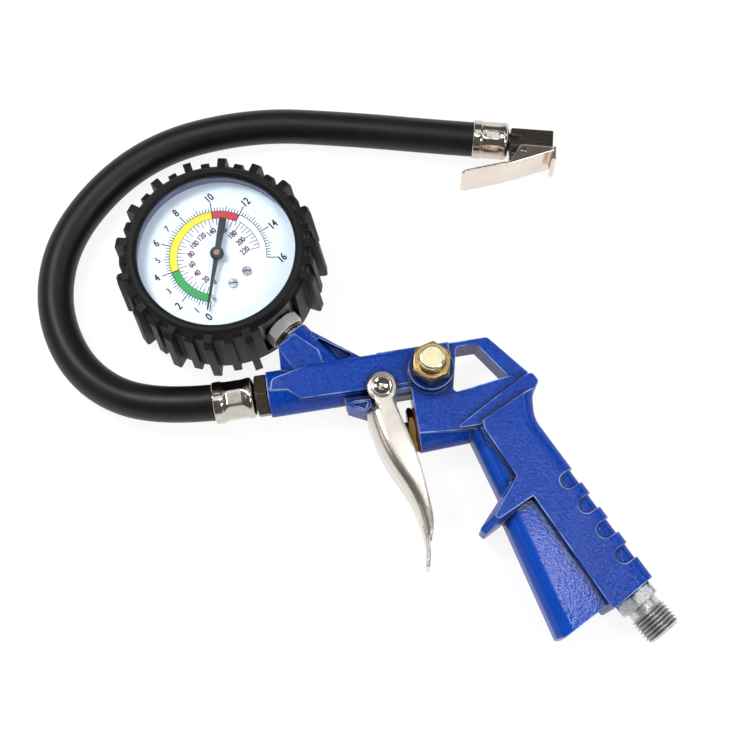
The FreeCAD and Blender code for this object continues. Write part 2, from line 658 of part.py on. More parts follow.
def stem_seal():
    """O-ring round the valve stem, just inside the gland."""
    middle = STEM_RADIUS + FIT + STEM_SEAL_RADIUS
    place = VALVE_FACE_X + STEM_SEAL_RADIUS + 0.1
    ring = [(place + STEM_SEAL_RADIUS * math.cos(math.pi * (k + 0.5) / 4),
             middle + STEM_SEAL_RADIUS * math.sin(math.pi * (k + 0.5) / 4)) for k in range(8)]
    return turned(ring, on_valve(0))


def valve_stem():
    """Stem with its poppet turned on: the trigger pushes the rounded tip."""
    disc_end = VALVE_FACE_X + GLAND_SHANK_LENGTH + POPPET_DISC
    return turned([
        (STEM_TIP_X, 0), (STEM_TIP_X + 0.2, 0.8), (STEM_TIP_X + 0.9, STEM_RADIUS),
        (disc_end, STEM_RADIUS), (disc_end, POPPET_RADIUS),
        (disc_end + POPPET_LENGTH, POPPET_RADIUS), (disc_end + POPPET_LENGTH, 2.6),
        (disc_end + POPPET_LENGTH + 1.6, 2.4), (disc_end + POPPET_LENGTH + 1.6, 0)], on_valve(0))


def poppet_disc():
    """Rubber disc that closes on the gland's seat."""
    seat = VALVE_FACE_X + GLAND_SHANK_LENGTH
    return turned([(seat, STEM_RADIUS), (seat, POPPET_RADIUS - 0.2),
                   (seat + POPPET_DISC, POPPET_RADIUS - 0.2), (seat + POPPET_DISC, STEM_RADIUS)],
                  on_valve(0))


def valve_spring():
    """Spring that holds the poppet shut."""
    start = VALVE_FACE_X + GLAND_SHANK_LENGTH + POPPET_DISC + POPPET_LENGTH
    length = VALVE_FACE_X + CHAMBER_DEPTH - start
    return coil(VALVE_SPRING_RADIUS, VALVE_SPRING_WIRE, length, VALVE_SPRING_TURNS,
                on_valve(start + 0.01), X)


def on_bleed(z):
    """A point on the bleed valve's axis."""
    return V(BLEED_X, BLEED_Y, z)


def bleed_valve_body():
    """Brass bleed valve body: hexagon over a hollow shank screwed into the boss."""
    foot = BLEED_BOSS_TOP - BLEED_SHANK_LENGTH
    top = BLEED_BOSS_TOP + BLEED_HEX_LENGTH
    shelf = BLEED_BOSS_TOP + BLEED_SPRING_FLOOR
    body = turned([(foot, BLEED_VENT_RADIUS), (foot, BLEED_SHANK_RADIUS),
                   (BLEED_BOSS_TOP + 1, BLEED_SHANK_RADIUS), (BLEED_BOSS_TOP + 1, BLEED_VENT_RADIUS)],
                  on_bleed(0), Z)
    nut = hexagon(BLEED_HEX, BLEED_HEX_LENGTH, on_bleed(BLEED_BOSS_TOP), Z, 47)
    nut = nut.cut(rod(BUTTON_RADIUS + 2 * FIT, on_bleed(shelf), on_bleed(top + 1)))
    nut = nut.cut(rod(BLEED_VENT_RADIUS, on_bleed(BLEED_BOSS_TOP - 1), on_bleed(top)))
    return body.fuse(nut).removeSplitter()


def bleed_button():
    """Push button, its stem and the flange that carries the seal."""
    hex_top = BLEED_BOSS_TOP + BLEED_HEX_LENGTH
    top = hex_top + BUTTON_RISE
    under = top - BUTTON_HEAD
    seat = BLEED_BOSS_TOP - BLEED_SHANK_LENGTH
    flange = seat - BLEED_SEAL_THICK
    return turned([
        (flange - 0.6, 0), (flange - 0.6, 2.2), (flange, 2.2), (flange, BUTTON_STEM_RADIUS),
        (under, BUTTON_STEM_RADIUS), (under, BUTTON_RADIUS), (top - 0.8, BUTTON_RADIUS),
        (top - 0.25, BUTTON_RADIUS - 0.25), (top, BUTTON_RADIUS - 0.8), (top, 0)], on_bleed(0), Z)


def bleed_seal():
    """Rubber washer that the spring holds against the foot of the bleed valve body."""
    seat = BLEED_BOSS_TOP - BLEED_SHANK_LENGTH
    low = seat - BLEED_SEAL_THICK
    return turned([(low, BUTTON_STEM_RADIUS), (low, BLEED_SEAL_RADIUS), (seat, BLEED_SEAL_RADIUS),
                   (seat, BUTTON_STEM_RADIUS)], on_bleed(0), Z)


def bleed_spring():
    """Spring under the button's head."""
    low = BLEED_BOSS_TOP + BLEED_SPRING_FLOOR
    high = BLEED_BOSS_TOP + BLEED_HEX_LENGTH + BUTTON_RISE - BUTTON_HEAD
    return coil(BLEED_SPRING_RADIUS, BLEED_SPRING_WIRE, high - low, BLEED_SPRING_TURNS,
                on_bleed(low + 0.01), Z)


# The gauge
def on_gauge(distance):
    """A point on the gauge stem's axis, measured from the gauge's centre."""
    return across(GAUGE_CENTRE, GAUGE, -distance)


def gauge_socket():
    """Brass socket: block inside the case, hexagon outside it and the threaded shank."""
    hex_in = GAUGE_REACH - SOCKET_WASHER - SOCKET_HEX_LENGTH
    block = Part.makeBox(BLOCK_LENGTH, 12, PLATE_HIGH + 5, V(BLOCK_START, -6, -5))
    block.Placement = FreeCAD.Placement(GAUGE_CENTRE, FreeCAD.Rotation(X, GAUGE * -1))
    neck = rod(SOCKET_THREAD_RADIUS, on_gauge(BLOCK_END - 1), on_gauge(hex_in + 1))
    nut = hexagon(SOCKET_HEX, SOCKET_HEX_LENGTH, on_gauge(hex_in), GAUGE * -1, 20)
    shank = rod(SOCKET_THREAD_RADIUS, on_gauge(GAUGE_REACH - SOCKET_WASHER - 1),
                on_gauge(GAUGE_REACH + SOCKET_THREAD_LENGTH))
    body = block.multiFuse([neck, nut, shank])
    return body.cut(rod(1.5, on_gauge(BLOCK_START + 3), on_gauge(GAUGE_REACH + 20))).removeSplitter()


def socket_washer():
    """Brass sealing ring between the socket's hexagon and the boss."""
    start = GAUGE_REACH - SOCKET_WASHER
    return turned([
        (start, SOCKET_THREAD_RADIUS + FIT), (start, SOCKET_WASHER_RADIUS - 0.3),
        (start + 0.3, SOCKET_WASHER_RADIUS), (start + 0.9, SOCKET_WASHER_RADIUS),
        (start + 1.1, SOCKET_WASHER_RADIUS - 0.7), (start + 1.3, SOCKET_WASHER_RADIUS - 0.7),
        (start + 1.5, SOCKET_WASHER_RADIUS - 0.2), (GAUGE_REACH, SOCKET_WASHER_RADIUS - 0.4),
        (GAUGE_REACH, SOCKET_THREAD_RADIUS + FIT)], GAUGE_CENTRE, GAUGE * -1)


def gauge_ring(profile):
    """A ring about the gauge's own axis from (height, radius) points."""
    return turned(profile, GAUGE_CENTRE, Z)


def gauge_case():
    """Pressed steel cup that holds the movement, open at the front."""
    inner = CASE_RADIUS - CASE_WALL
    cup = gauge_ring([(CASE_BACK, 0), (CASE_BACK, CASE_RADIUS - 2), (CASE_BACK + 2, CASE_RADIUS),
                      (CASE_FRONT, CASE_RADIUS), (CASE_FRONT, inner), (CASE_BACK + 2.5, inner),
                      (CASE_BACK + CASE_WALL, inner - 1.5), (CASE_BACK + CASE_WALL, 0)])
    return cup.cut(rod(SOCKET_THREAD_RADIUS + FIT, on_gauge(BLOCK_END), on_gauge(GAUGE_REACH)))


def gauge_lens():
    """Clear moulded lens: a flat front and a skirt that stands on the dial."""
    outer = CASE_RADIUS - CASE_WALL - FIT
    inner = outer - LENS_WALL
    under = LENS_TOP - LENS_THICK
    return gauge_ring([(under, 0), (under, inner - 0.6), (under - 0.6, inner), (DIAL_TOP, inner),
                       (DIAL_TOP, outer), (CASE_FRONT, outer), (CASE_FRONT, CASE_RADIUS - 0.4),
                       (LENS_TOP - 0.5, CASE_RADIUS - 0.4), (LENS_TOP, CASE_RADIUS - 0.9),
                       (LENS_TOP, 0)])


def dial_screw_places():
    """The two screws under the dial's centre, towards the stem."""
    return [across(GAUGE_CENTRE, V(math.cos(math.radians(a)), math.sin(math.radians(a)), 0), 11.9)
            for a in (290.0, 322.0)]


def dial_plate():
    """White dial, with holes for the pointer shaft and the two screws."""
    rim = CASE_RADIUS - CASE_WALL - FIT
    low = DIAL_TOP - DIAL_THICK
    dial = gauge_ring([(low, SHAFT_RADIUS + 0.6), (low, rim), (DIAL_TOP, rim),
                       (DIAL_TOP, SHAFT_RADIUS + 0.6)])
    for place in dial_screw_places():
        dial = dial.cut(rod(0.95, place + Z * (low - 1), place + Z * (DIAL_TOP + 1)))
    return dial.cut(rod(0.55, stop_place() + Z * (low - 1), stop_place() + Z * (DIAL_TOP + 1)))


def dial_screws():
    """Two cheese-head screws that hold the dial to the movement's pillars."""
    screws = []
    for place in dial_screw_places():
        head = Part.makeCylinder(1.7, 0.7, place + Z * DIAL_TOP)
        shank = Part.makeCylinder(0.9, DIAL_TOP - PLATE_HIGH - PLATE_THICK - 0.3,
                                  place + Z * (PLATE_HIGH + PLATE_THICK + 0.3))
        slot = Part.makeBox(4, 0.4, 0.4, place + V(-2, -0.2, DIAL_TOP + 0.4))
        screws.append(head.fuse(shank).cut(slot))
    return Part.makeCompound(screws)


def stop_place():
    """Centre of the pin that the pointer rests against at zero."""
    turn = math.radians(POINTER_REST_ANGLE + 4.0)
    return GAUGE_CENTRE + V(math.cos(turn), math.sin(turn), 0) * STOP_REACH


def stop_pin():
    """Small pin pressed into the dial beside zero."""
    return rod(0.5, stop_place() + Z * (DIAL_TOP - DIAL_THICK),
               stop_place() + Z * (POINTER_Z + POINTER_THICK))


def pointer():
    """Black pointer: slim needle, broad tail and a hub."""
    tail = rounded([(-POINTER_TAIL, -1.35), (0, -1.0), (0, 1.0), (-POINTER_TAIL, 1.35)],
                   [0.9, 0, 0, 0.9])
    needle = rounded([(0, -0.95), (POINTER_LENGTH - 1.0, -0.3), (POINTER_LENGTH, 0),
                      (POINTER_LENGTH - 1.0, 0.3), (0, 0.95)], [0, 0, 0, 0, 0])
    flat = plate(tail, POINTER_THICK / 2).fuse(plate(needle, POINTER_THICK / 2))
    flat.translate(Z * (POINTER_Z + POINTER_THICK / 2))
    hub = turned([(POINTER_Z - 0.6, SHAFT_RADIUS), (POINTER_Z - 0.6, POINTER_HUB_RADIUS),
                  (POINTER_HUB_TOP - 0.5, POINTER_HUB_RADIUS),
                  (POINTER_HUB_TOP - 0.1, POINTER_HUB_RADIUS - 0.5),
                  (POINTER_HUB_TOP - 0.1, SHAFT_RADIUS)], axis=Z)
    piece = flat.fuse(hub).cut(rod(SHAFT_RADIUS, V(0, 0, 0), Z * 20))
    piece.Placement = FreeCAD.Placement(GAUGE_CENTRE, FreeCAD.Rotation(Z, POINTER_REST_ANGLE))
    return piece


def gear_outline(teeth, span, centre_angle):
    """Points of a run of straight-sided teeth, thin enough to leave backlash."""
    pitch = GEAR_MODULE * teeth_radius(teeth)
    step = 360.0 / teeth
    root = pitch - 1.3 * GEAR_MODULE
    tip = pitch + 0.85 * GEAR_MODULE
    points = []
    first = centre_angle - step * (span - 1) / 2
    for i in range(span):
        middle = first + i * step
        for radius, share in ((root, -0.30), (tip, -0.11), (tip, 0.11), (root, 0.30)):
            turn = math.radians(middle + share * step)
            points.append((radius * math.cos(turn), radius * math.sin(turn)))
    return points


def teeth_radius(teeth):
    """Pitch radius in modules."""
    return teeth / 2


PINION_RADIUS = GEAR_MODULE * PINION_TEETH / 2
SECTOR_RADIUS = GEAR_MODULE * SECTOR_FULL_TEETH / 2
SECTOR_ANGLE = 200.0
SECTOR_PIVOT = GAUGE_CENTRE + V(math.cos(math.radians(SECTOR_ANGLE)),
                                math.sin(math.radians(SECTOR_ANGLE)), 0) * (
                                    PINION_RADIUS + SECTOR_RADIUS)
TAIL_LENGTH = (BOURDON_RADIUS - PINION_RADIUS - SECTOR_RADIUS - 0.9) / 2


def pointer_shaft():
    """Steel shaft with the pinion cut on it."""
    shaft = rod(SHAFT_RADIUS, Z * (PLATE_LOW - 0.6), Z * POINTER_HUB_TOP)
    outline = gear_outline(PINION_TEETH, PINION_TEETH, SECTOR_ANGLE)
    pinion = Part.Face(polygon(outline)).extrude(Z * (GEAR_THICK + 0.4))
    pinion.translate(Z * -0.2)
    piece = shaft.fuse(pinion)
    piece.translate(GAUGE_CENTRE)
    return piece


def sector_gear():
    """Toothed sector on its arbor, with a tail that the link works."""
    teeth = gear_outline(SECTOR_FULL_TEETH, SECTOR_TEETH, 0)
    hub = 2.2
    fan = [(0, -hub)] + teeth + [(0, hub)]
    blade = Part.Face(polygon(fan)).extrude(Z * GEAR_THICK)
    tail = plate(rounded([(1, -1.4), (1, 1.4), (-TAIL_LENGTH - 1.2, 1.2),
                          (-TAIL_LENGTH - 1.2, -1.2)], [0, 0, 1.0, 1.0]), GEAR_THICK / 2)
    tail.translate(Z * GEAR_THICK / 2)
    arbor = rod(1.1, Z * (PLATE_LOW - 0.6), Z * (PLATE_HIGH + PLATE_THICK + 0.6))
    pin = rod(0.6, V(-TAIL_LENGTH, 0, -1.4), V(-TAIL_LENGTH, 0, GEAR_THICK))
    piece = blade.multiFuse([tail, arbor, pin])
    turn = SECTOR_ANGLE + 180 + sector_start()
    piece.Placement = FreeCAD.Placement(SECTOR_PIVOT, FreeCAD.Rotation(Z, turn))
    return piece


def sector_start():
    """Turn of the sector at zero pressure: a whole number of teeth before its middle."""
    step = 360.0 / SECTOR_FULL_TEETH
    return -step * round(SECTOR_SWING / 2 / step)


def link():
    """Flat link from the sector's tail to the end of the tube."""
    turn = math.radians(SECTOR_ANGLE + sector_start())
    pivot = SECTOR_PIVOT + V(math.cos(turn), math.sin(turn), 0) * TAIL_LENGTH
    bar = plate(rounded([(-1.3, -1.2), (LINK_LENGTH, -1.2), (LINK_LENGTH, 1.2), (-1.3, 1.2)],
                        [1.1] * 4), 0.3)
    bar = bar.cut(rod(0.65, Z * -2, Z * 2))
    bar.Placement = FreeCAD.Placement(pivot + Z * -0.9, FreeCAD.Rotation(Z, link_angle()))
    return bar


def link_angle():
    """Heading of the link, square to the sector's mid position."""
    return SECTOR_ANGLE + 90.0


def movement_plates():
    """The two brass plates and the pillars that join them to each other and to the dial."""
    straps = []
    reach = SECTOR_PIVOT - GAUGE_CENTRE
    heading = math.degrees(math.atan2(reach.y, reach.x))
    holes = []
    for place in (GAUGE_CENTRE, SECTOR_PIVOT):
        holes.append(rod(SHAFT_RADIUS + 0.15, place - Z * 20, place + Z * 20))
    strap = rounded([(-4, -4.5), (reach.Length + 3, -3.2), (reach.Length + 3, 3.2), (-4, 4.5)],
                    [3, 2.5, 2.5, 3])
    stem_heading = GAUGE_ANGLE + 180
    for z, end in ((PLATE_LOW, BLOCK_START), (PLATE_HIGH, BLOCK_START + 4)):
        arm = rounded([(-3, -3.5), (end, -3.5), (end, 3.5), (-3, 3.5)], [2, 0.5, 0.5, 2])
        for wire, turn in ((strap, heading), (arm, stem_heading)):
            piece = plate(wire, PLATE_THICK / 2)
            piece.Placement = FreeCAD.Placement(GAUGE_CENTRE + Z * (z + PLATE_THICK / 2),
                                                FreeCAD.Rotation(Z, turn))
            straps.append(piece)
    foot = on_gauge(BLOCK_START - 1.6)
    pillar = rod(1.4, foot + Z * PLATE_LOW, foot + Z * PLATE_HIGH)
    ears = []
    for place in dial_screw_places():
        ears.append(rod(2.2, place + Z * PLATE_HIGH, place + Z * (PLATE_HIGH + PLATE_THICK)))
        ears.append(rod(1.5, place + Z * PLATE_HIGH, place + Z * (DIAL_TOP - DIAL_THICK)))
    tie = Part.makePolygon([dial_screw_places()[0] + Z * PLATE_HIGH,
                            dial_screw_places()[1] + Z * PLATE_HIGH,
                            GAUGE_CENTRE + Z * PLATE_HIGH,
                            dial_screw_places()[0] + Z * PLATE_HIGH])
    web = Part.Face(tie).extrude(Z * PLATE_THICK)
    body = straps[0].multiFuse(straps[1:] + [pillar, web] + ears)
    for place in dial_screw_places():
        holes.append(rod(0.95, place + Z * (PLATE_HIGH + PLATE_THICK + 0.25), place + Z * 20))
    return body.cut(Part.makeCompound(holes)).removeSplitter()


def bourdon_tube():
    """Flattened tube bent to a C from the socket's block, with a tip that reaches the link."""
    wall = 0.35
    sections = []
    for half, tall in ((1.2, 3.0), (1.2 - wall, 3.0 - wall)):
        ease = half * 0.7
        sections.append([(-tall, BOURDON_RADIUS - half + ease), (-tall, BOURDON_RADIUS + half - ease),
                        (ease - tall, BOURDON_RADIUS + half), (tall - ease, BOURDON_RADIUS + half),
                        (tall, BOURDON_RADIUS + half - ease), (tall, BOURDON_RADIUS - half + ease),
                        (tall - ease, BOURDON_RADIUS - half), (ease - tall, BOURDON_RADIUS - half)])
    faces = [Part.Face(polygon(points)) for points in sections]
    tube = faces[0].cut(faces[1]).revolve(V(0, 0, 0), X, BOURDON_END - BOURDON_START)
    tube.rotate(V(0, 0, 0), Y, -90)
    heading = BOURDON_START - 90
    tube.Placement = FreeCAD.Placement(V(0, 0, 0), FreeCAD.Rotation(Z, heading)).multiply(
        tube.Placement)
    tip = Part.makeBox(1.6, 3.4, 6.0, V(BOURDON_RADIUS - 1.7, -0.4, -3.0))
    tip = tip.fuse(Part.makeBox(BOURDON_RADIUS + 0.6 - LINK_REACH, 2.4, 0.8,
                                V(LINK_REACH, 0.2, -2.4)))
    tip.rotate(V(0, 0, 0), Z, BOURDON_END)
    tube = tube.fuse(tip)
    tube.translate(GAUGE_CENTRE)
    return tube


def hairspring():
    """Flat spiral of half turns from a collet round the pointer shaft to a stud on the plate."""
    thick = 0.12
    step = 0.55
    rings = []
    for offset in (0.0, thick):
        edges = []
        radius = 1.5 + offset
        centre = 0.0
        start = V(radius, 0, 0)
        for i in range(8):
            side = 1 if i % 2 == 0 else -1
            top = V(centre, side * radius, 0)
            end = V(centre - side * radius, 0, 0)
            edges.append(Part.Arc(start, top, end).toShape())
            start = end
            centre += side * step / 2
            radius += step / 2
        rings.append(edges)
    inner, outer = rings
    first = Part.LineSegment(outer[0].valueAt(outer[0].FirstParameter),
                             inner[0].valueAt(inner[0].FirstParameter)).toShape()
    last = Part.LineSegment(outer[-1].valueAt(outer[-1].LastParameter),
                            inner[-1].valueAt(inner[-1].LastParameter)).toShape()
    outline = Part.Wire(Part.__sortEdges__(inner + outer + [first, last]))
    spring = Part.Face(outline).extrude(Z * 0.6)
    end = outer[-1].valueAt(outer[-1].LastParameter)
    stud = rod(0.45, end, end + Z * (PLATE_HIGH - 3.4))
    collet = turned([(0, SHAFT_RADIUS + FIT), (0, 1.65), (0.9, 1.65), (0.9, SHAFT_RADIUS + FIT)],
                    axis=Z)
    spring = spring.multiFuse([stud, collet])
    spring.translate(GAUGE_CENTRE + Z * 3.4)
    return spring


def boot_rib(tall):
    """Outline of one rib, as (height, radius) points."""
    crest = RIB_TALL_RADIUS if tall else RIB_SHORT_RADIUS
    top = 1.3 if tall else 1.8
    return [(BOOT_BACK, BOOT_RADIUS - 1.5), (BOOT_BACK, crest + RIB_GROWTH - 0.8),
            (BOOT_BACK + 1.2, crest + RIB_GROWTH), (BOOT_FRONT - 3.8, crest),
            (BOOT_FRONT - top - 0.3, crest - 1.0), (BOOT_FRONT - top, crest - 1.8),
            (BOOT_FRONT - 1.0, BOOT_LIP_RADIUS - 1.4), (LENS_TOP + 0.2, CASE_RADIUS + 0.4)]


def rib_angle(index):
    """Heading of a rib: the ribs are even, but stretched towards the stem and crowded opposite."""
    even = RIB_START - index * RIB_PITCH
    return even + RIB_CROWDING * math.sin(math.radians(RIB_CROWDED_SIDE - even))


def gauge_boot():
    """Rubber boot: a lip over the lens, a wall round the case and tread-like ribs."""
    inner = CASE_RADIUS + FIT
    body = gauge_ring([
        (BOOT_BACK, BOOT_BACK_OPENING), (BOOT_BACK, BOOT_RADIUS), (BOOT_BACK + 1, BOOT_RADIUS + 1),
        (BOOT_FRONT - 3.6, BOOT_RADIUS), (BOOT_FRONT - 2.4, BOOT_LIP_RADIUS + 0.4),
        (BOOT_FRONT - 0.5, BOOT_LIP_RADIUS - 0.4), (BOOT_FRONT, BOOT_LIP_RADIUS - 1.0),
        (BOOT_FRONT, WINDOW_RADIUS + 1.2), (BOOT_FRONT - 0.5, WINDOW_RADIUS + 0.5),
        (LENS_TOP + FIT, WINDOW_RADIUS), (LENS_TOP + FIT, inner), (CASE_BACK - FIT, inner),
        (CASE_BACK - FIT, BOOT_BACK_OPENING)])
    ribs = []
    for i in range(BOOT_RIBS):
        turn = rib_angle(i)
        apart = (turn - GAUGE_ANGLE) % 360 - 180
        if abs(apart) < 17:
            continue
        corners = [V(r, -RIB_WIDTH / 2, z) for z, r in boot_rib(i % 2 == 0)]
        rib = Part.Face(Part.makePolygon(corners + corners[:1])).extrude(Y * RIB_WIDTH)
        rib.Placement = FreeCAD.Placement(GAUGE_CENTRE, FreeCAD.Rotation(Z, turn))
        ribs.append(rib)
    notch = Part.makeBox(30, 17, 60, V(CASE_RADIUS - 12, -8.5, -7.8))
    notch.Placement = FreeCAD.Placement(GAUGE_CENTRE, FreeCAD.Rotation(Z, GAUGE_ANGLE + 180))
    keep = gauge_ring([(BOOT_FRONT - 2.8, 0), (BOOT_FRONT - 2.8, 60), (BOOT_FRONT + 1, 60),
                       (BOOT_FRONT + 1, 0)])
    return body.multiFuse(ribs).cut(notch.cut(keep)).removeSplitter()


# The hose and what is on it
def adaptor_place(distance):
    """A point on the hose adaptor's axis, measured out from the port."""
    return V(PORT_X - distance, BARREL_Y, 0)


def barb(start):
    """Outline of a barbed hose tail, as (distance, radius) points from its root."""
    points = []
    pitch = BARB_LENGTH / 4
    for i in range(4):
        points += [(start + i * pitch, BARB_RADIUS), (start + (i + 0.8) * pitch, BARB_RADIUS - 0.4)]
    points.append((start + BARB_LENGTH, BARB_RADIUS - 0.5))
    return points


def hose_adaptor():
    """Adaptor from the port's thread to the hose tail."""
    tail = ADAPTOR_HEX_LENGTH + ADAPTOR_NECK_LENGTH
    body = turned([(-ADAPTOR_SHANK_LENGTH, BARB_BORE_RADIUS),
                   (-ADAPTOR_SHANK_LENGTH, ADAPTOR_SHANK_RADIUS),
                   (1, ADAPTOR_SHANK_RADIUS), (1, 5.0), (tail, 5.0), (tail, BARB_RADIUS)]
                  + barb(tail + FERRULE_END) + [(tail + FERRULE_END + BARB_LENGTH,
                                                 BARB_BORE_RADIUS)], adaptor_place(0), X * -1)
    nut = hexagon(ADAPTOR_HEX, ADAPTOR_HEX_LENGTH, adaptor_place(0), X * -1, 20)
    bore = rod(BARB_BORE_RADIUS, adaptor_place(-1), adaptor_place(20))
    return body.fuse(nut.cut(bore)).removeSplitter()


def ferrule(origin, axis, turn, radius, mouth):
    """Crimped ferrule from its closed end to its flared mouth, with pressed flats."""
    wall = turned([
        (0, BARB_RADIUS + FIT), (0, radius - 1.9), (0.5, radius - 0.7), (1.3, radius - 0.15),
        (2.8, radius - 0.15), (3.6, radius - 0.3), (mouth - 4.2, radius - 0.3),
        (mouth - 3.0, radius), (mouth, radius), (mouth, HOSE_RADIUS), (FERRULE_END, HOSE_RADIUS),
        (FERRULE_END, BARB_RADIUS + FIT)])
    ring = turned([(3.6, HOSE_RADIUS + 0.1), (3.6, 12), (mouth - 4.4, 12),
                   (mouth - 4.4, HOSE_RADIUS + 0.1)])
    size = (HOSE_RADIUS + FERRULE_SKIN) / math.cos(math.pi / FERRULE_FLATS)
    corners = [V(2, size * math.cos(math.radians(turn + 360.0 * i / FERRULE_FLATS)),
                 size * math.sin(math.radians(turn + 360.0 * i / FERRULE_FLATS)))
               for i in range(FERRULE_FLATS + 1)]
    core = Part.Face(Part.makePolygon(corners)).extrude(X * 12)
    piece = wall.cut(ring.cut(core))
    piece.Placement = FreeCAD.Placement(origin, FreeCAD.Rotation(X, axis))
    return piece


def hose_route():
    """Corners of the hose's route over the bench, from the gun's ferrule to the chuck's."""
    start = adaptor_place(ADAPTOR_HEX_LENGTH + ADAPTOR_NECK_LENGTH + FERRULE_END)
    end = on_chuck(-FERRULE_END - 0.2)
    low = HOSE_LIFT - MID_Z
    return [start, V(-77.8, BARREL_Y, 0), V(-105.0, 23.2, -5.2), V(-115.2, 53.2, low),
            V(-106.3, 84.1, low), V(-74.5, 110.8, low), V(-33.0, 115.9, low),
            V(6.5, 107.0, low), on_chuck(-29.0), end]


def hose():
    """Plain rubber hose: straight runs joined by tangent bends."""
    corners = hose_route()
    count = len(corners)
    runs = [(corners[i + 1] - corners[i]).Length for i in range(count - 1)]
    edges = []
    start = corners[0]
    lengths = 0.0
    radii = []
    for i in range(1, count - 1):
        before = (corners[i - 1] - corners[i]).normalize()
        after = (corners[i + 1] - corners[i]).normalize()
        half = before.getAngle(after) / 2
        reach = 0.45 * min(runs[i - 1], runs[i])
        first = across(corners[i], before, reach)
        last = across(corners[i], after, reach)
        radius = reach * math.tan(half)
        bisector = (before + after).normalize()
        middle = across(corners[i], bisector, radius / math.sin(half) - radius)
        edges.append(Part.LineSegment(start, first).toShape())
        edges.append(Part.Arc(first, middle, last).toShape())
        radii.append(round(radius, 1))
        start = last
    edges.append(Part.LineSegment(start, corners[-1]).toShape())
    route = Part.Wire(edges)
    facing = (corners[1] - corners[0]).normalize()
    skins = []
    for radius in (HOSE_RADIUS, HOSE_BORE_RADIUS):
        ring = Part.Wire(Part.makeCircle(radius, corners[0], facing))
        skins.append(route.makePipeShell([ring], True, False, 1))
    wall = skins[0].cut(skins[1])
    section = math.pi * (HOSE_RADIUS ** 2 - HOSE_BORE_RADIUS ** 2)
    print("hose radii", radii, "length", round(route.Length, 1),
          "volume", round(wall.Volume / (section * route.Length), 4))
    return wall


def near_ferrule():
    """Crimped ferrule at the gun's end of the hose."""
    return ferrule(adaptor_place(ADAPTOR_HEX_LENGTH + ADAPTOR_NECK_LENGTH), X * -1, 22.5,
                   FERRULE_RADIUS, FERRULE_LENGTH)


def far_ferrule():
    """Crimped ferrule at the chuck's end of the hose."""
    return ferrule(on_chuck(-0.2), chuck_axis() * -1, 10.0, FAR_FERRULE_RADIUS,
                   FAR_FERRULE_LENGTH)


# The chuck, drawn with X along its mouth and the lever on the -Y side
def chuck_axis():
    """Direction of the chuck's mouth."""
    turn = math.radians(CHUCK_ANGLE)
    return V(math.cos(turn), math.sin(turn), 0)


def on_chuck(distance):
    """A point on the chuck's axis, measured from the end of its block."""
    return V(CHUCK_X, CHUCK_Y, CHUCK_LIFT - MID_Z) + chuck_axis() * distance


def lay_chuck(shape):
    """A piece of the chuck moved to the hose's end, turned and rolled as it lies."""
    turn = FreeCAD.Rotation(Z, CHUCK_ANGLE).multiply(FreeCAD.Rotation(X, CHUCK_ROLL))
    shape.Placement = FreeCAD.Placement(on_chuck(0), turn).multiply(shape.Placement)
    return shape


def chuck_body():
    """Brass block with the hose tail, the mouth for the tyre valve and two pivot lugs."""
    ease = 0.5
    low = CHUCK_MOUTH_Y - CHUCK_HALF_HEIGHT
    high = CHUCK_MOUTH_Y + CHUCK_HALF_HEIGHT
    wide = CHUCK_HALF_WIDTH
    corners = [V(0.2, y, z) for y, z in (
        (low + ease, -wide), (high - ease, -wide), (high, ease - wide), (high, wide - ease),
        (high - ease, wide), (low + ease, wide), (low, wide - ease), (low, ease - wide))]
    block = Part.Face(Part.makePolygon(corners + corners[:1])).extrude(X * (CHUCK_LENGTH - 0.2))
    pin = V(CHUCK_PIN_X, CHUCK_PIN_Y, 0)
    lug = rod(CHUCK_LUG_RADIUS, pin - Z * wide, pin + Z * wide)
    foot = plate(polygon([(CHUCK_PIN_X - 2.3, low + 1), (CHUCK_PIN_X - 2.3, CHUCK_PIN_Y),
                          (CHUCK_PIN_X + 2.3, CHUCK_PIN_Y), (CHUCK_PIN_X + 3.2, low + 1)]), wide)
    slot = Part.makeBox(12, 6, 5.0, V(-1, low - 6, -2.5))
    lugs = lug.fuse(foot).cut(slot)
    step = Part.makeBox(2.6, 4.0, 2.0, V(0, low + 1.2, wide - 1.4))
    tail = turned([(0.4, 0), (0.4, 5.0), (0.2, 5.0), (0.0, 5.0), (0.0, BARB_RADIUS),
                   (-0.2, BARB_RADIUS)] + [(-d, r) for d, r in barb(0.2 + FERRULE_END)]
                  + [(-0.2 - FERRULE_END - BARB_LENGTH, 0)])
    body = block.multiFuse([lugs, tail]).cut(step)
    mouth = CHUCK_LENGTH - CHUCK_MOUTH_DEPTH
    off = V(0, CHUCK_MOUTH_Y, 0)
    body = body.cut(rod(CHUCK_SEAL_RADIUS, off + X * mouth, off + X * (CHUCK_LENGTH - 1)))
    body = body.cut(rod(CHUCK_MOUTH_RADIUS, off + X * (mouth + CHUCK_SEAL_LENGTH),
                        off + X * (CHUCK_LENGTH + 1)))
    body = body.cut(rod(3.0, off + X * (mouth - 1.6), off + X * (mouth + 0.5)))
    body = body.cut(rod(BARB_BORE_RADIUS, X * -20, X * (mouth - 1)))
    body = body.cut(rod(CHUCK_PIN_RADIUS + FIT, pin - Z * 9, pin + Z * 9))
    return lay_chuck(body)


def chuck_seal():
    """Rubber ring at the bottom of the mouth, against which the tyre valve presses."""
    low = CHUCK_LENGTH - CHUCK_MOUTH_DEPTH
    top = low + CHUCK_SEAL_LENGTH
    return lay_chuck(turned([(low, CHUCK_SEAL_BORE - 0.4), (low, CHUCK_SEAL_RADIUS),
                             (top, CHUCK_SEAL_RADIUS), (top, CHUCK_SEAL_BORE + 0.4),
                             (top - 0.8, CHUCK_SEAL_BORE - 0.4)], V(0, CHUCK_MOUTH_Y, 0)))


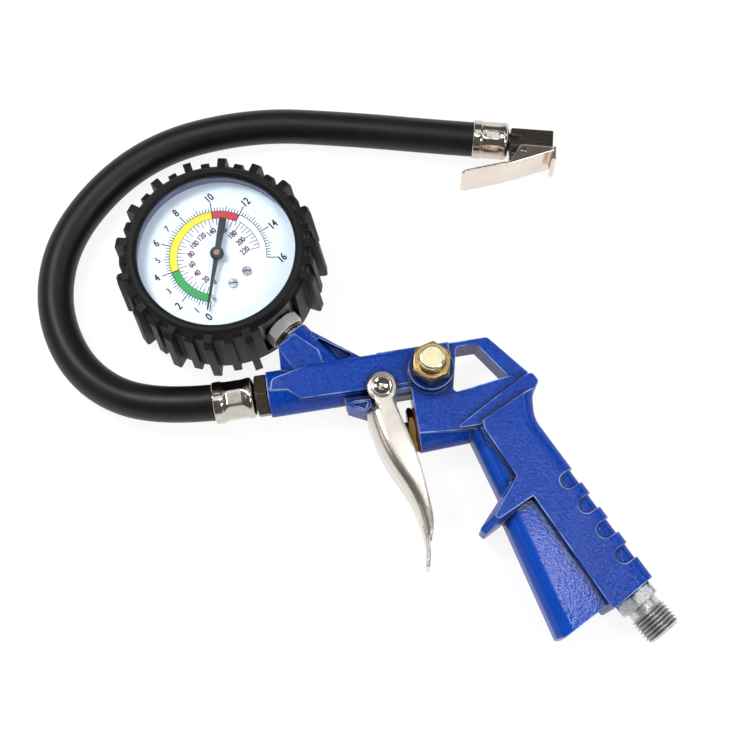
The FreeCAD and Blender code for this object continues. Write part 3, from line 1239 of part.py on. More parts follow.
def chuck_depressor():
    """Small brass peg, held by the seal, that opens the tyre valve's core."""
    base = CHUCK_LENGTH - CHUCK_MOUTH_DEPTH - 1.6
    peg = turned([(base, 0), (base, 3.0 - FIT), (base + 1.6, 3.0 - FIT), (base + 1.6, 0.9),
                  (base + 4.4, 0.9), (base + 4.6, 0.7), (base + 4.6, 0)], V(0, CHUCK_MOUTH_Y, 0))
    for turn in (90, 210, 330):
        place = V(0, CHUCK_MOUTH_Y + 1.65 * math.cos(math.radians(turn)),
                  1.65 * math.sin(math.radians(turn)))
        peg = peg.cut(rod(0.5, place + X * (base - 1), place + X * (base + 2)))
    return lay_chuck(peg)


def chuck_pivot_pin():
    """Rivet through the lever's ears and the block's lugs."""
    reach = LEVER_HALF_WIDTH + FIT
    pin = turned([(-reach - 0.3, 0), (-reach - 0.3, 1.1), (-reach, 1.5), (-reach, CHUCK_PIN_RADIUS),
                  (reach, CHUCK_PIN_RADIUS), (reach, 1.5), (reach + 0.3, 1.1), (reach + 0.3, 0)],
                 V(CHUCK_PIN_X, CHUCK_PIN_Y, 0), Z)
    return lay_chuck(pin)


def chuck_lever():
    """Pressed steel lever: thumb plate, two ears and the notched jaw that grips the thread."""
    inner = LEVER_HALF_WIDTH - LEVER_SHEET
    line = [LEVER_THUMB, LEVER_BEND, LEVER_END]
    web = plate(polygon(line + [(x, y + LEVER_SHEET * 1.05) for x, y in reversed(line)]),
                LEVER_THUMB_HALF)
    left = LEVER_THUMB[0]
    waist = LEVER_BEND[0] - 3.0
    plan = rounded([(left, -LEVER_THUMB_HALF), (waist, -LEVER_THUMB_HALF),
                    (waist + 1.4, -LEVER_HALF_WIDTH), (LEVER_END[0], -LEVER_HALF_WIDTH),
                    (LEVER_END[0], LEVER_HALF_WIDTH), (waist + 1.4, LEVER_HALF_WIDTH),
                    (waist, LEVER_THUMB_HALF), (left, LEVER_THUMB_HALF)],
                   [2.4, 0, 0, 0, 0, 0, 0, 2.4])
    trim = Part.Face(plan).extrude(Z * 40)
    trim.rotate(V(0, 0, 0), X, 90)
    web = web.common(trim)
    ear = rounded([(0.4, -13.1), (3.0, -6.4), (4.2, -4.9), (15.4, -5.1), (16.2, -5.7),
                   (LEVER_END[0], LEVER_END[1] + 0.1)], [0.4, 1.0, 1.2, 0.5, 0.0, 0.0])
    ears = []
    for side in (1, -1):
        piece = plate(ear, LEVER_SHEET / 2)
        piece.translate(Z * side * (inner + LEVER_SHEET / 2))
        ears.append(piece)
    face = CHUCK_LENGTH + JAW_GAP
    jaw = Part.makeBox(LEVER_SHEET, 5.8, 2 * inner + 0.4, V(face, -10.0, -inner - 0.2))
    jaw = jaw.cut(rod(JAW_NOTCH_RADIUS, V(face - 1, CHUCK_MOUTH_Y, 0),
                      V(face + 2, CHUCK_MOUTH_Y, 0)))
    bead = rod(0.9, V(face + 0.2, -9.7, -inner), V(face + 0.2, -9.7, inner))
    lever = web.multiFuse(ears + [jaw, bead])
    pin = V(CHUCK_PIN_X, CHUCK_PIN_Y, 0)
    lever = lever.cut(rod(CHUCK_PIN_RADIUS + FIT, pin - Z * 9, pin + Z * 9))
    return lay_chuck(lever.removeSplitter())


def chuck_spring():
    """Spring between the block and the thumb plate that keeps the jaw on the thread."""
    low = CHUCK_MOUTH_Y - CHUCK_HALF_HEIGHT
    return lay_chuck(coil(CHUCK_SPRING_RADIUS, CHUCK_SPRING_WIRE, CHUCK_SPRING_LENGTH,
                          CHUCK_SPRING_TURNS, V(CHUCK_SPRING_X, low - 0.01, 0), Y * -1))


# Setting down
def set_down(shape):
    """The gun's own frame moved onto the bench."""
    shape.translate(V(PIN_X, PIN_Y, MID_Z))
    return shape


def export(name, shape):
    """One node, one file."""
    shape.exportStep("parts/%s.step" % name)
    print(name, len(shape.Solids), round(shape.Volume, 1), shape.isValid())


def main():
    os.makedirs("parts", exist_ok=True)
    gun = {
        "gun_body": gun_body, "inlet_nipple": inlet_nipple, "trigger": trigger,
        "trigger_pin": trigger_pin, "valve_gland": valve_gland, "gland_washer": gland_washer,
        "stem_seal": stem_seal, "valve_stem": valve_stem, "poppet_disc": poppet_disc,
        "valve_spring": valve_spring, "bleed_valve_body": bleed_valve_body,
        "bleed_button": bleed_button, "bleed_seal": bleed_seal, "bleed_spring": bleed_spring,
        "gauge_socket": gauge_socket, "socket_washer": socket_washer, "gauge_case": gauge_case,
        "gauge_lens": gauge_lens, "dial_plate": dial_plate, "dial_screws": dial_screws,
        "stop_pin": stop_pin, "pointer": pointer, "pointer_shaft": pointer_shaft,
        "sector_gear": sector_gear, "link": link, "movement_plates": movement_plates,
        "bourdon_tube": bourdon_tube, "hairspring": hairspring, "gauge_boot": gauge_boot,
        "hose_adaptor": hose_adaptor, "near_ferrule": near_ferrule, "hose": hose,
        "far_ferrule": far_ferrule, "chuck_body": chuck_body, "chuck_seal": chuck_seal,
        "chuck_depressor": chuck_depressor, "chuck_pivot_pin": chuck_pivot_pin,
        "chuck_lever": chuck_lever, "chuck_spring": chuck_spring,
    }
    for name, build in gun.items():
        export(name, set_down(build()))


main()
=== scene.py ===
import math
import bmesh
import bpy
from mathutils import Matrix, Vector


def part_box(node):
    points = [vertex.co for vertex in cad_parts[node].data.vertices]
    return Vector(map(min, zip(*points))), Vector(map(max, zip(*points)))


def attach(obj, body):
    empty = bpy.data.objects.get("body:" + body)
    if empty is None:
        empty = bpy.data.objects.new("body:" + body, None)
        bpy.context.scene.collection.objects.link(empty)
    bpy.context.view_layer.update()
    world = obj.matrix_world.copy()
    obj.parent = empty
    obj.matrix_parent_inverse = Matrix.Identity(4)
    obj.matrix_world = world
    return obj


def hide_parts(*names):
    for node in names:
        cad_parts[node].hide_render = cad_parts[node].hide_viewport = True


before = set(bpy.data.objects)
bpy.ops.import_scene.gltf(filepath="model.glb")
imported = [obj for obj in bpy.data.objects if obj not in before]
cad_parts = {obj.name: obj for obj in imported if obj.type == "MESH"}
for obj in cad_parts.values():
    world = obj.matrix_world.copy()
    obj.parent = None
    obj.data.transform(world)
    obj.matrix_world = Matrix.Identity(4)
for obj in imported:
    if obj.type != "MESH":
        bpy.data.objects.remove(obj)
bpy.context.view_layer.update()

# Camera: a 60 mm lens about 44 cm over the bench, leaning a little towards the gauge. The three
# headings are those of the picture's right edge, of its foot, and of the view itself.
camera_place = (-0.013454, -0.114086, 0.4391)
to_right = Vector((0.98758, -0.15642, -0.01459))
to_foot = Vector((-0.15420, -0.94746, -0.28027))
ahead = Vector((0.03002, 0.27904, -0.95981))
camera_lens = bpy.data.cameras.new("camera")
camera_lens.lens = 60
camera_lens.sensor_width = 36
camera_lens.clip_start = 0.01
camera = bpy.data.objects.new("camera", camera_lens)
lean = Matrix((to_right, -to_foot, -ahead)).transposed().to_4x4()
camera.matrix_world = Matrix.Translation(camera_place) @ lean
bpy.context.scene.collection.objects.link(camera)
bpy.context.scene.camera = camera


# Hose: black nitrile rubber extruded over a braid, 13 mm thick, with a dull skin from the
# vulcanising. It lies on the bench from the gun's crimped ferrule to the chuck's.
MM = 0.001


def linear(code):
    """Linear colour from an sRGB hex code."""
    values = [int(code[i:i + 2], 16) / 255 for i in (0, 2, 4)]
    return [v / 12.92 if v <= 0.04045 else ((v + 0.055) / 1.055) ** 2.4 for v in values] + [1.0]


def add(tree, kind, sockets, **fields):
    """A shader node with its fields set. A socket takes a constant or another node's output."""
    node = tree.nodes.new("ShaderNode" + kind)
    for name, value in fields.items():
        setattr(node, name, value)
    return plug(tree, node, sockets)


def plug(tree, node, sockets):
    """Gives a node's inputs their constants or links."""
    for name, value in sockets.items():
        if isinstance(value, bpy.types.NodeSocket):
            tree.links.new(value, node.inputs[name])
        else:
            node.inputs[name].default_value = value
    return node


def material(name, sockets):
    """A new material, its node tree, its principled shader, and the place on the object."""
    made = bpy.data.materials.new(name)
    made.use_nodes = True
    tree = made.node_tree
    shader = plug(tree, tree.nodes["Principled BSDF"], sockets)
    return made, tree, shader, add(tree, "TexCoord", {}).outputs["Object"]


# Points of the hose's line, from the gun to the chuck, which the solid tube's corners share
hose_route = [(-0.0449, 0.0087, 0.0125), (-0.0765, 0.0087, 0.0125), (-0.1037, 0.0256, 0.0073),
              (-0.1139, 0.0556, 0.0066), (-0.1050, 0.0865, 0.0066), (-0.0732, 0.1132, 0.0066),
              (-0.0317, 0.1183, 0.0066), (0.0078, 0.1094, 0.0066), (0.0368, 0.1011, 0.0076),
              (0.0632, 0.0945, 0.0076)]
hose_radius = 6.5 * MM
hose_line = bpy.data.curves.new("hose_line", "CURVE")
hose_line.dimensions = "3D"
hose_line.bevel_depth = hose_radius
hose_line.bevel_resolution = 12
hose_line.resolution_u = 24
run = hose_line.splines.new("NURBS")
run.points.add(len(hose_route) - 1)
for point, (x, y, z) in zip(run.points, hose_route):
    point.co = (x, y, z, 1)
run.order_u = 3
run.use_endpoint_u = True
# Satin rubber: one broad dull highlight along the top, broken by a fine grain of talc. The
# grain is drawn at 0.4 mm, coarser than real talc, so that it shows
bloom_size, talc_grain, talc_depth = 14 * MM, 0.4 * MM, 0.1 * MM
hose_rubber, tree, shader, place = material("extruded_rubber_satin", {"Specular IOR Level": 0.35})
bloom = add(tree, "TexNoise", {"Vector": place, "Scale": 1 / bloom_size, "Detail": 4.0})
talc = add(tree, "TexNoise", {"Vector": place, "Scale": 1 / talc_grain, "Detail": 2.0})
tint = add(tree, "Mix", {0: bloom.outputs["Fac"], 6: linear("0b0b0d"), 7: linear("131315")},
           data_type="RGBA")
dull = add(tree, "MapRange", {"Value": bloom.outputs["Fac"], "To Min": 0.34, "To Max": 0.5})
relief = add(tree, "Bump", {"Height": talc.outputs["Fac"], "Strength": 0.3,
                            "Distance": talc_depth})
plug(tree, shader, {"Base Color": tint.outputs[2], "Roughness": dull.outputs["Result"],
                    "Normal": relief.outputs["Normal"]})
hose_line.materials.append(hose_rubber)
hose = bpy.data.objects.new("rubber_hose", hose_line)
bpy.context.scene.collection.objects.link(hose)
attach(hose, "gun")
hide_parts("hose")


# Ferrules: steel cups, nickel plated, pressed on the hose in a die with eight jaws. Each jaw
# leaves a flat panel with rounded, scooped ends, and the collars beyond the jaws stay round.
weld_distance = 0.001 * MM
sharp_angle = math.radians(32)


def new_piece(name, points, faces, made, body):
    """A mesh piece with its sharp edges kept sharp, riding on a body."""
    mesh = bpy.data.meshes.new(name)
    mesh.from_pydata(points, [], faces)
    shell = bmesh.new()
    shell.from_mesh(mesh)
    bmesh.ops.remove_doubles(shell, verts=shell.verts, dist=weld_distance)
    shell.to_mesh(mesh)
    shell.free()
    mesh.materials.append(made)
    mesh.shade_smooth()
    mesh.set_sharp_from_angle(angle=sharp_angle)
    piece = bpy.data.objects.new(name, mesh)
    bpy.context.scene.collection.objects.link(piece)
    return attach(piece, body)


def turned(name, start, axis, rows, sides, made, body):
    """A piece turned round an axis. Each row is a distance along it and a radius, or a function
    that gives the radius by angle. The last row joins the first, except on the axis."""
    along = Vector(axis).normalized()
    side = (Vector((1, 0, 0)) if abs(along.z) > 0.9
            else Vector((0, 0, 1)).cross(along)).normalized()
    up = along.cross(side)
    points = []
    for distance, radius in rows:
        for i in range(sides):
            angle = 2 * math.pi * i / sides
            reach = radius(angle) if callable(radius) else radius
            points.append(Vector(start) + along * distance
                          + (side * math.cos(angle) + up * math.sin(angle)) * reach)
    ends_on_axis = rows[0][1] == rows[-1][1] == 0
    faces = []
    for j in range(len(rows) - 1 if ends_on_axis else len(rows)):
        to_next = ((j + 1) % len(rows) - j) * sides
        for i in range(sides):
            a, b = j * sides + i, j * sides + (i + 1) % sides
            faces.append((a, b, b + to_next, a + to_next))
    return new_piece(name, points, faces, made, body)


def edge_level(tree, radius):
    """A normal that rounds the edges, and how nearly it is the face's own, which is 1 on a flat."""
    rounded = add(tree, "Bevel", {"Radius": radius}, samples=8)
    face = add(tree, "NewGeometry", {})
    level = add(tree, "VectorMath", {0: rounded.outputs["Normal"], 1: face.outputs["Normal"]},
                operation="DOT_PRODUCT")
    return rounded.outputs["Normal"], level.outputs["Value"]


def metal(name, dark, light, mottle, scratch, rough, depth, edge, bare=1.0):
    """A bare or plated metal, from its darkest and lightest tints, the sizes of its mottle and
    scratches in mm, its least and most roughness, and the depth of its relief and radius of its
    edges in mm. Edges are painted lighter, part rubbing wear and part painted highlight, and
    corners and hollows are painted dark brown as painted shade. bare is less than 1 where a sawn
    or blasted skin is partly matt."""
    made, tree, shader, place = material(name, {"Metallic": bare})
    cloud = add(tree, "TexNoise", {"Vector": place, "Scale": 1 / (mottle * MM), "Detail": 4.0})
    # Scratches are five times as long as they are wide, and all lie at one slant
    slant, stretch = 0.6, 5.0
    grain = add(tree, "Mapping", {"Vector": place, "Rotation": (0, 0, slant),
                                  "Scale": (1.0, stretch, 1.0)})
    marks = add(tree, "TexNoise", {"Vector": grain.outputs["Vector"],
                                   "Scale": 1 / (scratch * MM), "Detail": 4.0})
    tint = add(tree, "Mix", {0: cloud.outputs["Fac"], 6: linear(dark), 7: linear(light)},
               data_type="RGBA")
    rounded, level = edge_level(tree, edge * MM)
    # Edges are painted lighter: part rubbing wear, part painted highlight
    edge_wear_and_highlight = add(tree, "MapRange", {"Value": level, "From Min": 0.99, "From Max": 0.8,
                                  "To Max": 0.6})
    bright = [min(v * 1.15, 1.0) for v in linear(light)]
    worn_and_highlit = add(tree, "Mix", {0: edge_wear_and_highlight.outputs["Result"], 6: tint.outputs[2], 7: bright},
                 data_type="RGBA")
    # Corners and hollows are painted dark brown: a painted shade
    corner_shade_width = 1.2 * MM
    hollow = add(tree, "AmbientOcclusion", {"Distance": corner_shade_width}, samples=8)
    unshaded = add(tree, "MapRange", {"Value": hollow.outputs["AO"], "From Min": 0.3,
                                   "From Max": 0.8, "To Min": 0.15})
    corner_shaded = add(tree, "Mix", {0: unshaded.outputs["Result"], 6: linear("1a140e"),
                               7: worn_and_highlit.outputs[2]}, data_type="RGBA")
    dull = add(tree, "MapRange", {"Value": marks.outputs["Fac"], "From Min": 0.3,
                                  "From Max": 0.7, "To Min": rough[0], "To Max": rough[1]})
    relief = add(tree, "Bump", {"Height": marks.outputs["Fac"], "Strength": 0.5,
                                "Distance": depth * MM, "Normal": rounded})
    plug(tree, shader, {"Base Color": corner_shaded.outputs[2], "Roughness": dull.outputs["Result"],
                        "Normal": relief.outputs["Normal"]})
    return made


jaw_angle = math.pi / 4
jaw_turn = math.radians(-8)
scoop_length, least_scoop = 1.9 * MM, 0.3 * MM


def jaw_press(angle, past):
    """How far a jaw has pressed the cup, from 0 to 1, at an angle and a distance past the flat
    of its panel, with the angle from the panel's middle."""
    across = (angle - jaw_turn + jaw_angle / 2) % jaw_angle - jaw_angle / 2
    to_corner = min(abs(across) / (jaw_angle / 2), 1.0)
    end = scoop_length * math.sqrt(1 - to_corner * to_corner) + least_scoop
    share = min(max(past / end, 0.0), 1.0)
    return 1 - share * share * (3 - 2 * share), across


def ferrule(name, node, axis):
    """A crimped ferrule in place of a CAD one, and as long and wide as it."""
    low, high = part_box(node)
    along = Vector(axis)
    collar = (high.z - low.z) / 2
    reach = ((high - low).x - 2 * collar * abs(along.y)) / abs(along.x)
    start = (low + high) / 2 - along * reach / 2
    bore = hose_radius + 0.05 * MM
    barb_hole = 3.6 * MM
    floor_thickness = 1.6 * MM
    # The cup's rolled nose: distances from its end, and how far inside the collar it is, in mm
    nose = [(0.0, 1.9), (0.15, 1.3), (0.5, 0.7), (0.9, 0.35), (1.4, 0.15), (2.4, 0.15)]
    rows = [(0.0, barb_hole)] + [(x * MM, collar - inset * MM) for x, inset in nose]
    # The part that the jaws press, with the flat of their panels in its middle
    barrel, flat = collar - 0.3 * MM, hose_radius + 0.2 * MM
    begin, flat_begin = 2.8 * MM, 4.4 * MM
    finish, flat_finish = reach - 3.4 * MM, reach - 5.4 * MM
    steps = 40
    for j in range(steps + 1):
        x = begin + (finish - begin) * j / steps
        past = max(flat_begin - x, x - flat_finish, 0.0)

        def outline(angle, past=past):
            press, across = jaw_press(angle, past)
            pressed = min(barrel, flat / math.cos(across))
            return barrel + (pressed - barrel) * press
        rows.append((x, outline))
    # The round collar at the open end, then back through the bore
    rows += [(reach - 3.1 * MM, collar - 0.08 * MM), (reach - 2.8 * MM, collar),
             (reach - 0.25 * MM, collar), (reach, collar - 0.25 * MM),
             (reach, bore), (floor_thickness, bore), (floor_thickness, barb_hole)]
    piece = turned(name, start, along, rows, 96, ferrule_plate, "gun")
    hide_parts(node)
    return piece


# Bright nickel, a little warm, with dark brown reflections in the scoops
ferrule_plate = metal("pressed_steel_bright_nickel", "b9b0a6", "d8d2ca", 3.0, 0.5,
                      (0.10, 0.2), 0.01, 0.25)
chuck_heading = math.radians(-14.0)
ferrule("gun_crimp_ferrule", "near_ferrule", (-1, 0, 0))
far_crimp = ferrule("chuck_crimp_ferrule", "far_ferrule",
                    (-math.cos(chuck_heading), -math.sin(chuck_heading), 0))


# Hose adaptor: brass hexagon and barbed tail under dull dark nickel, screwed in the port.
# The saw-cut flats keep a coarse mottle, and the long bar was never polished.
def coat(nodes, made):
    """Gives CAD nodes a finish through their objects' own slots."""
    for name in nodes:
        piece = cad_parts[name]
        if not piece.material_slots:
            piece.data.materials.append(None)
        for place in piece.material_slots:
            place.link = "OBJECT"
            place.material = made


# Dark nickel over saw marks: brown-grey and half dull, painted lighter only along the hexagon's
# edges, part wear and part painted highlight
coat(["hose_adaptor"], metal("sawn_brass_dark_nickel", "55483c", "8d8071", 0.9, 0.4,
                             (0.28, 0.45), 0.03, 0.3))


# Casting: aluminium alloy, die cast and sprayed with a hard blue gloss coat. The coat follows
# the pebbled skin of the die on the flats, and lies smooth and wet in the handle's two recesses.
edge_round = 0.9 * MM
pebble_size, pebble_depth = 1.0 * MM, 0.15 * MM
cloud_size = 9 * MM
hollow_width = 3.5 * MM
handle_start, recess_top = -24 * MM, 22.8 * MM
# Gloss coat: deep blue with fine sparkle from the pebbles, a pale painted highlight along the
# edges, and painted navy shade in the corners. The pebbles are drawn at 1 mm, about twice their
# size, so that they show
blue, tree, shader, place = material("die_cast_blue_gloss_coat", {
    "Metallic": 0.0, "Specular IOR Level": 0.0, "Coat Weight": 0.5, "Coat Roughness": 0.06,
    "Coat IOR": 1.5})
rounded, level = edge_level(tree, edge_round)
# The pebbles fade out towards the edges, and more than halfway in the recesses
spot = add(tree, "SeparateXYZ", {"Vector": place})
in_handle = add(tree, "Math", {0: spot.outputs["Y"], 1: handle_start}, operation="LESS_THAN")
below_rim = add(tree, "Math", {0: spot.outputs["Z"], 1: recess_top}, operation="LESS_THAN")
wet = add(tree, "Math", {0: in_handle.outputs[0], 1: below_rim.outputs[0]},
          operation="MULTIPLY")
on_flat = add(tree, "MapRange", {"Value": level, "From Min": 0.96, "From Max": 0.999,
                                 "To Min": 0.12, "To Max": 1.0})
left_dry = add(tree, "MapRange", {"Value": wet.outputs[0], "To Min": 1.0, "To Max": 0.45})
strength = add(tree, "Math", {0: on_flat.outputs["Result"], 1: left_dry.outputs["Result"]},
               operation="MULTIPLY")
pebble = add(tree, "TexNoise", {"Vector": place, "Scale": 1 / pebble_size, "Detail": 3.0,
                                "Roughness": 0.55})
skin = add(tree, "Bump", {"Height": pebble.outputs["Fac"], "Strength": strength.outputs[0],
                          "Distance": pebble_depth, "Normal": rounded})
# The blue drifts a little over the casting, and is painted darker between the pebbles as painted
# shade
cloud = add(tree, "TexNoise", {"Vector": place, "Scale": 1 / cloud_size, "Detail": 3.0})
cloudy = add(tree, "Mix", {0: cloud.outputs["Fac"], 6: linear("0c3ea6"), 7: linear("1250bc")},
             data_type="RGBA")
crest = add(tree, "MapRange", {"Value": pebble.outputs["Fac"], "From Min": 0.34,
                               "From Max": 0.66})
pebble_shaded = add(tree, "Mix", {0: crest.outputs["Result"], 6: linear("09318c"),
                            7: cloudy.outputs[2]}, data_type="RGBA")
tint = add(tree, "Mix", {0: wet.outputs[0], 6: pebble_shaded.outputs[2], 7: cloudy.outputs[2]},
           data_type="RGBA")
# Painted pale along the edges, in places: a painted highlight
patchy = add(tree, "MapRange", {"Value": cloud.outputs["Fac"], "From Min": 0.4, "From Max": 0.6,
                                "To Min": 0.15, "To Max": 0.95})
edge_highlight_mask = add(tree, "MapRange", {"Value": level, "From Min": 0.985, "From Max": 0.9,
                              "To Max": patchy.outputs["Result"]})
edge_highlit = add(tree, "Mix", {0: edge_highlight_mask.outputs["Result"], 6: tint.outputs[2],
                          7: linear("b4cdf8")}, data_type="RGBA")
# Corners and hollows are painted navy: a painted shade
hollow = add(tree, "AmbientOcclusion", {"Distance": hollow_width}, samples=8)
shade = add(tree, "MapRange", {"Value": hollow.outputs["AO"], "From Min": 0.42,
                               "From Max": 0.97})
navy_corner_shade = add(tree, "Mix", {0: shade.outputs["Result"], 6: linear("020a2a"), 7: edge_highlit.outputs[2]},
           data_type="RGBA")
plug(tree, shader, {"Base Color": navy_corner_shade.outputs[2], "Roughness": 0.35,
                    "Normal": skin.outputs["Normal"], "Coat Normal": skin.outputs["Normal"]})
coat(["gun_body"], blue)


# Inlet nipple: free-cutting steel, zinc plated. It has a hexagon for the spanner, a turned
# relief, a cut G 1/4 thread with its real pitch of 19 to the inch, and a plain bore.
pin_low, pin_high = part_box("trigger_pin")
pin_place = (pin_low + pin_high) / 2
inlet_heading = math.radians(-60.6)
inlet_axis = Vector((math.cos(inlet_heading), math.sin(inlet_heading), 0))
inlet_side = Vector((-inlet_axis.y, inlet_axis.x, 0))
inlet_face = pin_place + inlet_axis * 107.0 * MM + inlet_side * 22.4 * MM
shank_length, shank_radius = 12 * MM, 6.4 * MM
hexagon_length, hexagon_turn, flats = 4.6 * MM, math.radians(15), 14.0 * MM
neck_length, thread_length = 2.4 * MM, 9.4 * MM
neck_end = hexagon_length + neck_length
thread_end = neck_end + thread_length
pitch, major, minor = 25.4 / 19 * MM, 6.58 * MM, 5.6 * MM
bore, countersink = 3.5 * MM, 0.5 * MM


def cone_hexagon(cone):
    """Radius of the hexagon by angle, where a cone has turned its corners off to a radius."""
    half = math.pi / 6

    def radius(angle):
        off_flat = (angle - hexagon_turn + half) % (2 * half) - half
        return min(flats / 2 / math.cos(off_flat), cone)
    return radius


def thread(distance):
    """Radius of the thread by angle, at a distance from the casting's face. Its vee is cut off
    flat at crest and root, it runs in from the neck, and its end is chamfered."""
    run_in = min(max((distance - neck_end) / (0.8 * pitch), 0.0), 1.0)
    end_cut = thread_end - distance + minor - 0.1 * MM

    def radius(angle):
        phase = (distance / pitch - angle / (2 * math.pi)) % 1.0
        ridge = min(max(1.35 - abs(phase - 0.5) * 3.4, 0.0), 1.0)
        return min(minor + (major - minor) * ridge * run_in, max(end_cut, minor - 0.4 * MM))
    return radius


corner = flats / math.sqrt(3)
half_cut = (flats / 2 + corner) / 2
half_rise, rise = 0.35 * MM, 0.75 * MM
rows = [(-shank_length, bore), (-shank_length, shank_radius), (0.0, shank_radius),
        (0.0, cone_hexagon(flats / 2)), (half_rise, cone_hexagon(half_cut)),
        (rise, cone_hexagon(corner)), (hexagon_length - rise, cone_hexagon(corner)),
        (hexagon_length - half_rise, cone_hexagon(half_cut)),
        (hexagon_length, cone_hexagon(flats / 2)), (hexagon_length, minor), (neck_end, minor)]
thread_steps = 110
for j in range(1, thread_steps + 1):
    distance = neck_end + thread_length * j / thread_steps
    rows.append((distance, thread(distance)))
rows += [(thread_end, bore + countersink), (thread_end - countersink, bore)]
# Bright zinc: cold grey-white, a little matt, with painted shade in the thread's roots
zinc = metal("turned_steel_bright_zinc", "a9abad", "eceded", 0.6, 0.3, (0.2, 0.36), 0.05, 0.15,
             bare=0.75)
nipple = turned("threaded_inlet_nipple", inlet_face, inlet_axis, rows, 96, zinc, "gun")
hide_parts("inlet_nipple")


# Valve: a brass gland screwed in the lower barrel over a fibre washer, with the steel stem,
# its seal and poppet, and the spring that closes it.
def clouded(name, dark, light, size, detail, rough):
    """A moulded, painted or printed finish that clouds softly between two tints. The clouds'
    size is in mm."""
    made, tree, shader, place = material(name, {"Roughness": rough})
    cloud = add(tree, "TexNoise", {"Vector": place, "Scale": 1 / (size * MM), "Detail": detail})
    tint = add(tree, "Mix", {0: cloud.outputs["Fac"], 6: dark, 7: light}, data_type="RGBA")
    plug(tree, shader, {"Base Color": tint.outputs[2]})
    return made


# Bronzed brass, with painted shade in the slots; red-brown fibre, quite matt; ground steel, nearly
# a mirror
coat(["valve_gland"], metal("turned_brass_bronzed", "5a4323", "b08a4c", 1.5, 0.4,
                            (0.16, 0.3), 0.015, 0.35))
coat(["gland_washer"], clouded("pressed_red_fibre", linear("4a2018"), linear("6e3424"),
                               0.6, 4.0, 0.8))
coat(["valve_stem"], metal("ground_steel_stem", "8f9092", "c4c4c2", 2.0, 0.2, (0.1, 0.2),
                           0.005, 0.15))
# Drawn wire, grey with a soft shine; nitrile, black with the slight gloss of the mould
coat(["valve_spring", "bleed_spring", "chuck_spring", "hairspring"],
     metal("drawn_spring_wire", "6f6f70", "a5a5a4", 0.8, 0.2, (0.2, 0.35), 0.01, 0.05))
coat(["stem_seal", "poppet_disc", "bleed_seal", "chuck_seal"],
     clouded("moulded_nitrile_seal", linear("0c0c0c"), linear("191919"), 1.4, 3.0, 0.45))


# Trigger: 1.2 mm steel sheet, pressed to a channel and nickel plated, on a rivet with a dished
# head. The plating is bright and cream-white, and the fold along its edge mirrors the dark room.
coat(["trigger"], metal("pressed_sheet_bright_nickel", "cdc5ba", "e6e0d8", 3.0, 0.35,
                        (0.16, 0.3), 0.012, 1.8))
# The rivet's plating is glossier than the sheet's, so the dish shows the lamps as small lights
rivet_plate = metal("headed_rivet_bright_nickel", "b9b0a4", "dcd5cb", 2.0, 0.5,
                    (0.08, 0.15), 0.005, 0.2)
head, shank, head_height = 3.8 * MM, 2.5 * MM, 0.9 * MM
dish_depth, dish_width, dish_steps = 0.75 * MM, 3.0 * MM, 10
top = (pin_high.z - pin_low.z) / 2
dish = [(top - dish_depth * (1 - (i / dish_steps) ** 2), dish_width * i / dish_steps)
        for i in range(dish_steps + 1)]
rim = [(top, head - 0.45 * MM), (top - 0.12 * MM, head - 0.15 * MM), (top - 0.35 * MM, head),
       (top - head_height, head), (top - head_height, shank)]
upper_half = dish + rim
rivet = turned("trigger_rivet", pin_place, (0, 0, 1),
               [(-z, r) for z, r in upper_half] + [(z, r) for z, r in reversed(upper_half)], 64,
               rivet_plate, "gun")
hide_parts("trigger_pin")


# Bleed valve: a brass hexagon body, turned and sawn, with a brass push button in it that lets
# the tyre down. The body is a brown gold, and the button's top is polished pale by the thumb.
coat(["bleed_valve_body"], metal("turned_brass_hexagon", "9c8048", "d3b67c", 1.4, 0.35,
                                 (0.16, 0.3), 0.015, 0.5))
coat(["bleed_button"], metal("polished_brass_button", "e8dcae", "faf2cc", 2.2, 0.4,
                             (0.14, 0.24), 0.008, 0.6))


# Gauge stem: a brass block with its socket hexagon under dull nickel, the copper washer at
# the boss, and the sprung tube and the movement behind the dial.
# Satin nickel over saw marks: near white, with hardly any reflections
coat(["gauge_socket"], metal("sawn_hexagon_satin_nickel", "d8d6d2", "fbfaf8", 0.7, 0.3,
                             (0.42, 0.6), 0.05, 0.35, bare=0.35))
coat(["socket_washer"], metal("turned_copper_washer", "7d7168", "c2b5a4", 1.2, 0.3,
                              (0.2, 0.34), 0.02, 0.3))
# Rolled brass, yellow and softly brushed; drawn bronze, redder; the arbor, browned at its tip
coat(["movement_plates", "sector_gear", "link", "chuck_depressor"],
     metal("rolled_brass_sheet", "a5823f", "cfab62", 2.0, 0.3, (0.2, 0.34), 0.01, 0.1))
coat(["bourdon_tube"], metal("drawn_bronze_tube", "8c6138", "b98754", 2.5, 0.3, (0.2, 0.34),
                             0.01, 0.2))
coat(["pointer_shaft"], metal("turned_bronze_arbor", "6d5142", "a07c66", 0.6, 0.2,
                              (0.25, 0.4), 0.01, 0.1))


# Dial: thin steel sheet under white stoved enamel, held by two steel screws, with a small
# brass pin beside zero. The enamel is a cool white with an even, low gloss.
coat(["dial_plate"], clouded("white_stoved_enamel", linear("d8e3e4"), linear("e2ebec"),
                             11, 3.0, 0.35))
coat(["dial_screws"], metal("slotted_steel_screws", "7c7c7c", "c8c8c6", 0.6, 0.2, (0.2, 0.34),
                            0.02, 0.3))
coat(["stop_pin"], metal("drawn_brass_pin", "8c8168", "cfc6ae", 0.6, 0.2, (0.2, 0.34),
                         0.01, 0.1))


# Dial print: screen-printed inks. The outer scale reads bar from 0 to 16, the inner one pounds
# per square inch from 0 to 220, and a band in three colours lies between them.
dial_low, dial_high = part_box("dial_plate")
ink_lift = 0.03 * MM
dial_centre = Vector(((dial_low.x + dial_high.x) / 2, (dial_low.y + dial_high.y) / 2,
                      dial_high.z + ink_lift))
